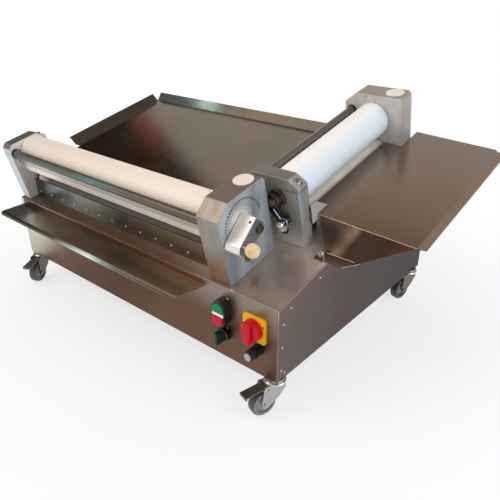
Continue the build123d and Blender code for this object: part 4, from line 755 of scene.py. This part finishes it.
FINISH = {
    "front": front_finish(),
    "deck": deck_finish(),
    "side": side_finish(),
    "steel": metal_finish("brushed_back_panel", (142, 134, 127), ALONG_X, rough=(0.26, 0.36)),
    "table": table_finish(),
    "tray": tray_finish(),
    # Apron tones are painted reflections, with a pale patch of painted highlight
    "apron": wide_finish("brushed_apron", APRON_TONES, ALONG_X, streak=0.025),
    "catch": catch_finish(),
    "scraper": scraper_finish(),
    # Guard bar tones hold a cool painted reflection
    "bar": wide_finish("ground_guard_bar", BAR_TONES, GROUND_X, rough=(0.36, 0.46)),
    "hem": hem_finish(),
    "block": block_finish(),
    "lever": lever_finish(),
    "crank": crank_finish(),
    "shaft": metal_finish("ground_steel", (122, 117, 108), GROUND_X),
    "bright": metal_finish("bright_plated", (214, 214, 212), EVEN, rough=(0.12, 0.24)),
    "zinc": metal_finish("zinc_plated", (178, 175, 173), EVEN, rough=(0.2, 0.34)),
    # Zinc painted darker as shade, for the forks other than the front right one
    "dull": metal_finish("zinc_painted_shade", (116, 107, 100), EVEN, rough=(0.22, 0.36)),
    "pedal": metal_finish("dull_pedal_steel", (112, 112, 106), EVEN, rough=(0.34, 0.46)),
    "bronze": metal_finish("plain_bronze", (186, 150, 96), EVEN),
    "gear": metal_finish("cut_gear_steel", (140, 140, 142), EVEN),
    "motor": plastic_finish("motor_paint", (140, 144, 148), (128, 132, 136), (0.42, 0.56)),
    "cream": roller_finish("cream_roller", TURNED_X, (229, 212, 197), (247, 231, 216)),
    "lower": lower_roller_finish(),
    "beige": plastic_finish(
        "beige_roller", (216, 208, 196), (206, 198, 186), (0.4, 0.52), TURNED_Y, ROLLER_RELIEF
    ),
    # Cool tint on the right side of this roller: painted light
    "white": roller_finish("white_roller", TURNED_Y, (246, 240, 236), (222, 231, 241), True),
    "plug": plastic_finish("cream_plug", (238, 224, 210), (230, 215, 200), (0.4, 0.5)),
    "black": plastic_finish(
        "black_plastic", (30, 30, 32), (20, 20, 22), (0.22, 0.36), FINE_GRAIN
    ),
    "selector": selector_finish(),
    # Dark discs standing in for the shade inside holes
    "painted_hole_shade": plastic_finish("dark_hollow", (56, 60, 68), (44, 47, 54), (0.6, 0.7), shine=0.1),
    "green": plastic_finish("green_button", (4, 132, 70), (2, 120, 62), (0.2, 0.3), shine=0.2),
    "red": plastic_finish("red_plastic", (206, 14, 30), (188, 8, 24), (0.22, 0.34), shine=0.25),
    "yellow": plastic_finish("yellow_plate", (255, 194, 4), (252, 186, 2), (0.3, 0.42)),
    "lens": plastic_finish("white_lens", (236, 246, 246), (226, 238, 238), (0.12, 0.2)),
    "cap": plastic_finish("grey_knob_cap", (190, 180, 176), (176, 166, 162), (0.3, 0.42)),
    "ball": ball_finish(),
}

NODE_FINISH = {
    "front_panel": "front",
    "deck_sheet": "deck",
    "back_panel": "steel",
    "side_panels": "side",
    "base_plate": "steel",
    "table_sheet": "table",
    "infeed_tray": "tray",
    "catch_tray": "catch",
    "front_apron": "apron",
    "front_guard_bar": "bar",
    "right_guard_bar": "shaft",
    "front_lever": "lever",
    "right_lever": "crank",
    "front_scraper": "scraper",
    "right_scraper": "scraper",
    "start_stop_body": "black",
    "pilot_lens": "lens",
    "start_button": "green",
    "stop_button": "red",
    "selector_knob": "selector",
    "main_switch_plate": "yellow",
    "main_switch_knob": "red",
    "speed_knob": "black",
    "switch_bodies": "black",
    "speed_controller": "motor",
    "cable_gland": "black",
    "caster_heads": "zinc",
    "bore_plugs": "plug",
    "roller_bushes": "bronze",
    "fixing_screws": "bright",
    "front_index_pin": "ball",
    "right_index_pin": "bright",
    "front_upper_roller": "cream",
    "front_lower_roller": "lower",
    "right_upper_roller": "white",
    "right_lower_roller": "beige",
    "front_right_fork": "zinc",
}
# Finish of the nodes that aren't named above, by the end of their names
ENDING_FINISH = {
    "_axle": "shaft",
    "_gear": "gear",
    "_gearmotor": "motor",
    "_block": "block",
    "_cap": "block",
    # Forks other than the front right one: zinc with painted shade
    "_fork": "dull",
    "_pedal": "pedal",
}
for node, shown in NODES.items():
    if node.endswith("_wheel"):
        finish = wheel_finish(node, *WHEEL_TONES[node.split("_")[0]])
    elif node in NODE_FINISH:
        finish = FINISH[NODE_FINISH[node]]
    else:
        finish = FINISH[ENDING_FINISH["_" + node.split("_")[-1]]]
    shown.data.materials.clear()
    shown.data.materials.append(finish)


def new_tree(name, **inputs):
    """Geometry tree with a mesh coming in, named inputs and a mesh going out."""
    tree = bpy.data.node_groups.new(name, "GeometryNodeTree")
    tree.interface.new_socket("Geometry", in_out="INPUT", socket_type="NodeSocketGeometry")
    for label, kind in inputs.items():
        label = label.replace("_", " ").title()
        tree.interface.new_socket(label, in_out="INPUT", socket_type="NodeSocket" + kind)
    tree.interface.new_socket("Geometry", in_out="OUTPUT", socket_type="NodeSocketGeometry")
    return tree, add(tree, "NodeGroupInput").outputs


def close_tree(tree, geometry, finish):
    """Realised instances with their material as the tree's result."""
    real = add(tree, "GeometryNodeRealizeInstances", {"Geometry": geometry})
    smooth = add(tree, "GeometryNodeSetShadeSmooth", {"Geometry": real.outputs["Geometry"]})
    inputs = {"Geometry": smooth.outputs["Geometry"], "Material": finish}
    dressed = add(tree, "GeometryNodeSetMaterial", inputs)
    add(tree, "NodeGroupOutput", {"Geometry": dressed.outputs["Geometry"]})


def rivet_tree():
    """Low domes on a mesh's points, each square to the point's facing."""
    tree, given = new_tree(
        "rivet_heads", head_radius="Float", head_height="Float", finish="Material"
    )
    inputs = {"Segments": 14, "Rings": 8, "Radius": given["Head Radius"]}
    dome = add(tree, "GeometryNodeMeshUVSphere", inputs)
    flat = math_node(tree, "DIVIDE", given["Head Height"], given["Head Radius"])
    scale = add(tree, "ShaderNodeCombineXYZ", {"X": 1.0, "Y": 1.0, "Z": flat})
    inputs = {"Geometry": dome.outputs["Mesh"], "Scale": scale.outputs["Vector"]}
    head = add(tree, "GeometryNodeTransform", inputs)
    facing = add(
        tree, "GeometryNodeInputNamedAttribute", {"Name": "facing"}, data_type="FLOAT_VECTOR"
    )
    inputs = {"Vector": facing.outputs["Attribute"]}
    turn = add(tree, "FunctionNodeAlignRotationToVector", inputs, axis="Z")
    heads = add(
        tree,
        "GeometryNodeInstanceOnPoints",
        {
            "Points": given["Geometry"],
            "Instance": head.outputs["Geometry"],
            "Rotation": turn.outputs["Rotation"],
        },
    )
    close_tree(tree, heads.outputs["Instances"], given["Finish"])
    return tree


def bead_tree():
    """Round bead along a mesh's edges."""
    tree, given = new_tree("bead_on_edges", bead_radius="Float", finish="Material")
    path = add(tree, "GeometryNodeMeshToCurve", {"Mesh": given["Geometry"]})
    inputs = {"Resolution": 10, "Radius": given["Bead Radius"]}
    ring = add(tree, "GeometryNodeCurvePrimitiveCircle", inputs)
    bead = add(
        tree,
        "GeometryNodeCurveToMesh",
        {
            "Curve": path.outputs["Curve"],
            "Profile Curve": ring.outputs["Curve"],
            "Fill Caps": True,
        },
    )
    close_tree(tree, bead.outputs["Mesh"], given["Finish"])
    return tree


def rib_tree():
    """Ribs that stand in a ring round Z."""
    tree, given = new_tree(
        "ribs_in_a_ring",
        rib_count="Int",
        ring_radius="Float",
        rib_radius="Float",
        rib_length="Float",
        finish="Material",
    )
    inputs = {"Vertices": given["Rib Count"], "Radius": given["Ring Radius"]}
    ring = add(tree, "GeometryNodeMeshCircle", inputs)
    inputs = {"Vertices": 8, "Radius": given["Rib Radius"], "Depth": given["Rib Length"]}
    rib = add(tree, "GeometryNodeMeshCylinder", inputs)
    inputs = {"Points": ring.outputs["Mesh"], "Instance": rib.outputs["Mesh"]}
    ribs = add(tree, "GeometryNodeInstanceOnPoints", inputs)
    close_tree(tree, ribs.outputs["Instances"], given["Finish"])
    return tree


TREES = {"rivets": rivet_tree(), "bead": bead_tree(), "ribs": rib_tree()}

# Steps round a turned piece, rows of rivets and screws, and the way the cabinet's front faces
TURNED_STEPS = 40
ROW_COUNT = 12
ROW_PITCH = 45.4
TOWARD_FRONT = Vector((0, -1, 0))


def grown_mesh(name, base, tree, values):
    """Plain mesh of a tree's result on a base mesh. Values are given by the tree's input names."""
    carrier = bpy.data.objects.new(name + "_carrier", base)
    bpy.context.scene.collection.objects.link(carrier)
    modifier = carrier.modifiers.new("grow", "NODES")
    modifier.node_group = tree
    names = {
        item.name: item.identifier
        for item in tree.interface.items_tree
        if item.in_out == "INPUT"
    }
    for label, value in values.items():
        modifier[names[label]] = value
    bpy.context.view_layer.update()
    evaluated = carrier.evaluated_get(bpy.context.evaluated_depsgraph_get())
    mesh = bpy.data.meshes.new_from_object(evaluated)
    mesh.name = name
    carrier.modifiers.clear()
    bpy.data.objects.remove(carrier)
    return mesh


def piece(name, mesh, body):
    """Finished piece at the origin that moves with a body."""
    made = bpy.data.objects.new(name, mesh)
    bpy.context.scene.collection.objects.link(made)
    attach(made, body)


def points_mesh(name, places):
    """Mesh of loose points, each with the direction that it faces."""
    mesh = bpy.data.meshes.new(name)
    mesh.from_pydata([spot for spot, _ in places], [], [])
    facing = mesh.attributes.new("facing", "FLOAT_VECTOR", "POINT")
    for index, (_, way) in enumerate(places):
        facing.data[index].vector = way
    return mesh


def rivets(name, places, head, finish):
    """Heads of a radius and height on the frame, at spots with the ways they face."""
    radius, height = head
    values = {"Head Radius": radius * MM, "Head Height": height * MM, "Finish": FINISH[finish]}
    mesh = grown_mesh(name, points_mesh(name + "_points", places), TREES["rivets"], values)
    piece(name, mesh, "frame")


def bead(name, paths, radius, finish):
    """Round beads of sheet metal on the frame along paths of spots in metres."""
    spots = []
    edges = []
    for path in paths:
        first = len(spots)
        spots += path
        edges += [(first + step, first + step + 1) for step in range(len(path) - 1)]
    mesh = bpy.data.meshes.new(name + "_paths")
    mesh.from_pydata(spots, edges, [])
    values = {"Bead Radius": radius * MM, "Finish": FINISH[finish]}
    piece(name, grown_mesh(name, mesh, TREES["bead"], values), "frame")


def turned(name, profile, matrix, finish, body, ring=False):
    """Piece turned round Z from a profile of radius and height; a ring's profile is closed."""
    spots = []
    faces = []
    for step in range(TURNED_STEPS):
        angle = 2 * math.pi * step / TURNED_STEPS
        for radius, height in profile:
            spot = Vector((radius * math.cos(angle), radius * math.sin(angle), height))
            spots.append(matrix @ spot)
    count = len(profile)
    pairs = [(low, low + 1) for low in range(count - 1)]
    if ring:
        pairs.append((count - 1, 0))
    for step in range(TURNED_STEPS):
        here, there = step * count, (step + 1) % TURNED_STEPS * count
        for low, high in pairs:
            faces.append((here + low, there + low, there + high, here + high))
    if not ring:
        faces.append([step * count for step in reversed(range(TURNED_STEPS))])
        faces.append([step * count + count - 1 for step in range(TURNED_STEPS)])
    mesh = bpy.data.meshes.new(name)
    mesh.from_pydata(spots, [], faces)
    if ring:
        mesh.shade_smooth()
    mesh.materials.append(FINISH[finish])
    piece(name, mesh, body)


def direction(matrix, vector):
    """Unit direction of a vector given in millimetre coordinates."""
    return (matrix.to_3x3() @ Vector(vector)).normalized()


def front_row(start, p, w, facing):
    """Spots in a row along the front station, each with the way it faces."""
    way = direction(FRONT_STATION, facing)
    places = [start + ROW_PITCH * count for count in range(ROW_COUNT)]
    return [(FRONT_STATION @ Vector((place, p, w)), way) for place in places]


# Rivets along the apron, on its outer face
APRON_RIVET_HEAD = (2.4, 1.1)
APRON_RIVET_START = 48.0
APRON_RIVET_W = 12.0
apron_lean = (Vector(APRON_TOP) - Vector(APRON_FOOT)).normalized()
apron_out = (0, -apron_lean.y, apron_lean.x)
apron_share = APRON_RIVET_W / APRON_TOP[1]
apron_p = APRON_FOOT[0] + (APRON_TOP[0] - APRON_FOOT[0]) * apron_share - APRON_SHEET
apron_places = front_row(APRON_RIVET_START, apron_p, APRON_RIVET_W, apron_out)
rivets("apron_rivets", apron_places, APRON_RIVET_HEAD, "bright")

# Small screws near the upper edge of the front scraper strip, which hangs under the guard bar
SCRAPER_SCREW_HEAD = (2.3, 0.9)
SCRAPER_SCREW_START = 74.0
SCRAPER_SCREW_W = 103.0
scraper_places = front_row(SCRAPER_SCREW_START, FRONT_BAR_P, SCRAPER_SCREW_W, TOWARD_FRONT)
rivets("scraper_screws", scraper_places, SCRAPER_SCREW_HEAD, "shaft")

# Rivets that hold the side panels to the cabinet, by depth and height
SIDE_RIVET_HEAD = (1.9, 0.8)
SIDE_RIVETS = (
    (33.0, 136.4),
    (117.5, 156.5),
    (15.0, 112.4),
    (13.0, 67.3),
    (11.0, 20.2),
    (21.3, 10.4),
)
side_places = [
    (MACHINE @ Vector((x, y, z)), Vector((way, 0, 0)))
    for x, way in ((CABINET_WIDTH, 1), (0.0, -1))
    for y, z in SIDE_RIVETS
]
rivets("side_panel_rivets", side_places, SIDE_RIVET_HEAD, "bright")

# Screws beside the start and stop buttons and one on the deck's front edge
PANEL_SCREW_HEAD = (2.3, 1.0)
PANEL_SCREWS = ((669.6, 124.4), (666.8, 62.9))
DECK_SCREW = (678.0, 2.5, 0)
panel_places = [(MACHINE @ Vector((x, 0, z)), TOWARD_FRONT) for x, z in PANEL_SCREWS]
panel_places.append((DECK @ Vector(DECK_SCREW), direction(DECK, (0, 0, 1))))
rivets("panel_screws", panel_places, PANEL_SCREW_HEAD, "bright")

# Dark discs of painted shade in the mouths of the index holes in the right front block
INDEX_MOUTH = (1.7, 0.12)
INDEX_RADIUS = 44.0
INDEX_START = 192.0
INDEX_PITCH = 7.2
INDEX_HOLES = 26
index_places = []
for count in range(INDEX_HOLES):
    angle = math.radians(INDEX_START - INDEX_PITCH * count)
    hole_p = INDEX_RADIUS * math.cos(angle)
    hole_w = PIVOT_W + INDEX_RADIUS * math.sin(angle)
    index_places.append((FRONT_STATION @ Vector((BLOCK_FACE, hole_p, hole_w)), Vector((1, 0, 0))))
rivets("index_hole_painted_shade", index_places, INDEX_MOUTH, "painted_hole_shade")

# Dark disc of painted shade for a small hole in the switch plate
PLATE_HOLE = (753.0, -SWITCH_PLATE_DEPTH, 104.5)
PLATE_HOLE_MOUTH = (2.0, 0.15)
plate_places = [(MACHINE @ Vector(PLATE_HOLE), TOWARD_FRONT)]
rivets("switch_plate_hole_painted_shade", plate_places, PLATE_HOLE_MOUTH, "painted_hole_shade")

# Folded edges as beads in the bright hem finish, which paints their highlight: deck, front corner,
# infeed tray and its skirt
HEM_RADIUS = 0.7
HEM_SINK = 0.3
CORNER_HEM = (1.0, FRONT_HEIGHT - 1.0)
TRAY_HEM = (20.0, TRAY_LENGTH)
SKIRT_HEM = (766.0, 822.0)
SKIRT_HEM_V = TRAY_NEAR_V - 34.0
SKIRT_HEM_W = 1.8
hem_u = CABINET_WIDTH - HEM_SINK
deck_spots = ((HEM_SINK, HEM_SINK), (hem_u, HEM_SINK), (hem_u, DECK_LENGTH))
deck_hem = [DECK @ Vector((u, v, -HEM_SINK)) for u, v in deck_spots]
corner_hem = [MACHINE @ Vector((hem_u, HEM_SINK, z)) for z in CORNER_HEM]
tray_hem = [TRAY @ Vector((x, TRAY_NEAR_V + HEM_SINK, -HEM_SINK)) for x in TRAY_HEM]
skirt_hem = [DECK @ Vector((u, SKIRT_HEM_V, SKIRT_HEM_W)) for u in SKIRT_HEM]
bead("folded_edges", (deck_hem, corner_hem, tray_hem, skirt_hem), HEM_RADIUS, "hem")

# Ribs round the speed knob and a cap on its end
RIB_COUNT = 18
RIB_RADIUS = 0.7
RIB_LENGTH = 17.0
RIB_SETBACK = 1.5
CAP_PROFILE = ((7.2, -0.5), (7.2, 0.5), (6.6, 0.9), (5.2, 0.9), (4.8, 0.6), (0.8, 0.6))
knob_foot = Matrix.Translation((SPEED_KNOB[0], 0, SPEED_KNOB[1]))
knob_axis = MACHINE @ knob_foot @ Matrix.Rotation(math.pi / 2, 4, "X")
rib_middle = SPEED_KNOB_FRONT - RIB_SETBACK - RIB_LENGTH / 2
ribs = grown_mesh(
    "speed_knob_ribs",
    bpy.data.meshes.new("speed_knob_base"),
    TREES["ribs"],
    {
        "Rib Count": RIB_COUNT,
        "Ring Radius": SPEED_KNOB_RADIUS,
        "Rib Radius": RIB_RADIUS,
        "Rib Length": RIB_LENGTH,
        "Finish": FINISH["black"],
    },
)
ribs.transform(knob_axis @ Matrix.Translation((0, 0, rib_middle)))
piece("speed_knob_ribs", ribs, "speed_knob")
cap_place = knob_axis @ Matrix.Translation((0, 0, SPEED_KNOB_FRONT))
turned("speed_knob_cap", CAP_PROFILE, cap_place, "cap", "speed_knob")

# Rounded swivel race on each caster's fork
RACE_PROFILE = (
    (16.6, -9.6),
    (18.8, -9.6),
    (20.1, -8.8),
    (20.6, -7.3),
    (20.2, -5.9),
    (18.8, -4.8),
    (16.6, -4.6),
)
SWIVELS = {
    "front_left": (15.0, 15.0),
    "front_right": (765.0, 15.0),
    "back_left": (12.0, 529.8),
    "back_right": (768.0, 529.8),
}
for caster, (x, y) in SWIVELS.items():
    race_place = MACHINE @ Matrix.Translation((x, y, 0))
    turned(
        f"{caster}_swivel_race",
        RACE_PROFILE,
        race_place,
        "bright",
        f"{caster}_fork",
        ring=True,
    )

# Camera at the photograph's viewing angle: place in millimetres from the cabinet's corner, way,
# and lens in millimetres
CAMERA_SPOT = (1212.7, -584.9, 622.4)
CAMERA_WAY = (-0.5749, 0.6827, -0.4511)
SENSOR_WIDTH = 36.0
LENS_LENGTH = 39.18
NEAREST_SEEN = 0.05

# Surroundings: each edge is soft, from none of a colour to all of it. Heights are the Z of a way,
# and WALL_SIDE is the way that the wall's edge is measured along.
WHITE = (1, 1, 1, 1)
CEILING_COLOUR = (0.6, 0.55, 0.5, 1)
CEILING_EDGE = (0.2, 0.42)
WALL_COLOUR = (0.045, 0.03, 0.018, 1)
WALL_SIDE = (0.3766, 0.9021, -0.2107)
WALL_EDGE = (0.036, 0.014)
WALL_BOTTOM = (0.2, 0.36)
WALL_TOP = (0.7, 0.62)
RED_COLOUR = (0.36, 0.09, 0.08, 1)
RED_NEAR = (-0.012, 0.006)
RED_FAR = (0.038, 0.022)
RED_TOP = (0.535, 0.5)
RED_BOTTOM = (0.42, 0.46)
WINDOW_WAY = Vector((-0.686, -0.493, 0.536)).normalized()
WINDOW_COLOUR = (0.36, 0.4, 0.37, 1)
WINDOW_EDGE = (0.2, 0.04)
WINDOW_DISTANCE = 2.0
WINDOW_AIM = MACHINE @ Vector((178.0, 470.0, 310.0))
ROOM_LIGHT = 0.7

# Floor in metres: how far it reaches, where it starts and ends to turn white, and where the
# machine's underside ends to darken it
FLOOR_REACH = 12.0
FLOOR_COLOUR = (0.9, 0.9, 0.9, 1)
FLOOR_FADE = (0.45, 1.1)
FLOOR_LEAST_WHITE = 0.7
UNDERSIDE_WIDE = (0.28, 0.31)
UNDERSIDE_DEEP = (0.12, 0.165)
UNDERSIDE_WHITE = 0.1


def set_camera():
    """Camera at the photograph's viewing angle."""
    lens = bpy.data.cameras.new("camera")
    lens.sensor_width = SENSOR_WIDTH
    lens.lens = LENS_LENGTH
    lens.clip_start = NEAREST_SEEN
    camera = bpy.data.objects.new("camera", lens)
    bpy.context.scene.collection.objects.link(camera)
    forward = Vector(CAMERA_WAY).normalized()
    right = forward.cross(Vector((0, 0, 1))).normalized()
    up = right.cross(forward)
    turn = Matrix((right, up, -forward)).transposed().to_4x4()
    camera.matrix_world = Matrix.Translation(MACHINE @ Vector(CAMERA_SPOT)) @ turn
    bpy.context.scene.camera = camera


def soft_light(name, spot, aim, size, power, colour):
    """Square soft lamp at a spot, turned toward another."""
    lamp = bpy.data.lights.new(name, "AREA")
    lamp.shape = "RECTANGLE"
    lamp.size = lamp.size_y = size
    lamp.energy = power
    lamp.color = colour
    shown = bpy.data.objects.new(name, lamp)
    bpy.context.scene.collection.objects.link(shown)
    shown.location = spot
    shown.rotation_euler = (Vector(aim) - Vector(spot)).to_track_quat("-Z", "Y").to_euler()


def seen_share(tree):
    """1 for rays that show the surroundings, directly or in metal and glass, else 0."""
    path = add(tree, "ShaderNodeLightPath").outputs
    seen = math_node(tree, "MAXIMUM", path["Is Camera Ray"], path["Is Glossy Ray"])
    return math_node(tree, "MAXIMUM", seen, path["Is Transmission Ray"])


def set_world():
    """White round the horizon, a dim warm ceiling, a dark wall with a red edge and a window."""
    world = bpy.data.worlds.new("studio")
    bpy.context.scene.world = world
    world.use_nodes = True
    tree = world.node_tree
    tree.nodes.clear()
    coords = add(tree, "ShaderNodeTexCoord").outputs["Generated"]
    height = parts(tree, coords)["Z"]
    aside = vector_math(tree, "DOT_PRODUCT", coords, WALL_SIDE)["Value"]
    room = mixed(tree, ranged(tree, height, *CEILING_EDGE), WHITE, CEILING_COLOUR)
    wall = both(tree, ranged(tree, height, *WALL_BOTTOM), ranged(tree, height, *WALL_TOP))
    wall = both(tree, wall, ranged(tree, aside, *WALL_EDGE))
    room = mixed(tree, wall, room, WALL_COLOUR)
    red = both(tree, ranged(tree, aside, *RED_NEAR), ranged(tree, aside, *RED_FAR))
    red = both(tree, red, ranged(tree, height, *RED_TOP), ranged(tree, height, *RED_BOTTOM))
    room = mixed(tree, red, room, RED_COLOUR)
    window = ranged(tree, distance(tree, coords, WINDOW_WAY), *WINDOW_EDGE)
    room = mixed(tree, both(tree, wall, window), room, WINDOW_COLOUR)
    seen = seen_share(tree)
    colour = mixed(tree, seen, WHITE, room)
    strength = ranged(tree, seen, 0.0, 1.0, ROOM_LIGHT, 1.0)
    back = add(tree, "ShaderNodeBackground", {"Color": colour, "Strength": strength})
    add(tree, "ShaderNodeOutputWorld", {"Surface": back.outputs["Background"]})


def set_floor():
    """Plain pale floor that keeps the shadow near the machine and turns white away from it."""
    mesh = bpy.data.meshes.new("floor")
    ways = ((-1, -1), (1, -1), (1, 1), (-1, 1))
    mesh.from_pydata(
        [(x * FLOOR_REACH, y * FLOOR_REACH, 0) for x, y in ways], [], [(0, 1, 2, 3)]
    )
    floor = bpy.data.objects.new("floor", mesh)
    bpy.context.scene.collection.objects.link(floor)
    finish, tree, shader, coords = new_finish("pale_floor")
    shader.inputs["Base Color"].default_value = FLOOR_COLOUR
    shader.inputs["Roughness"].default_value = 0.9
    shader.inputs["Specular IOR Level"].default_value = 0.1
    away = vector_math(tree, "LENGTH", coords)["Value"]
    aside = vector_math(tree, "SUBTRACT", coords, UNDERSIDE)["Vector"]
    aside = parts(tree, vector_math(tree, "ABSOLUTE", aside)["Vector"])
    past_side = ranged(tree, aside["X"], *UNDERSIDE_WIDE)
    past_end = ranged(tree, aside["Y"], *UNDERSIDE_DEEP)
    beside = math_node(tree, "MAXIMUM", past_side, past_end)
    lit = ranged(tree, beside, 0.0, 1.0, UNDERSIDE_WHITE, 1.0)
    fade = ranged(tree, away, *FLOOR_FADE, FLOOR_LEAST_WHITE, 1.0)
    share = both(tree, fade, lit, seen_share(tree))
    white = add(tree, "ShaderNodeEmission", {"Color": WHITE, "Strength": 1.0})
    inputs = {0: share, 1: shader.outputs["BSDF"], 2: white.outputs["Emission"]}
    mix = add(tree, "ShaderNodeMixShader", inputs)
    output = tree.nodes["Material Output"]
    tree.links.new(mix.outputs["Shader"], output.inputs["Surface"])
    mesh.materials.append(finish)


set_camera()
set_world()
set_floor()
soft_light(
    "key", spot=(-1.3, -1.7, 2.3), aim=(0, 0, 0.2), size=1.8, power=28.0, colour=(1.0, 0.97, 0.94)
)
soft_light(
    "fill", spot=(2.2, 0.2, 1.3), aim=(0, 0, 0.25), size=1.6, power=18.0, colour=(0.88, 0.94, 1.0)
)
soft_light(
    "window",
    spot=WINDOW_AIM + WINDOW_WAY * WINDOW_DISTANCE,
    aim=WINDOW_AIM,
    size=0.1,
    power=0.12,
    colour=(0.78, 0.98, 1.0),
)
bpy.context.scene.view_settings.view_transform = "Standard"
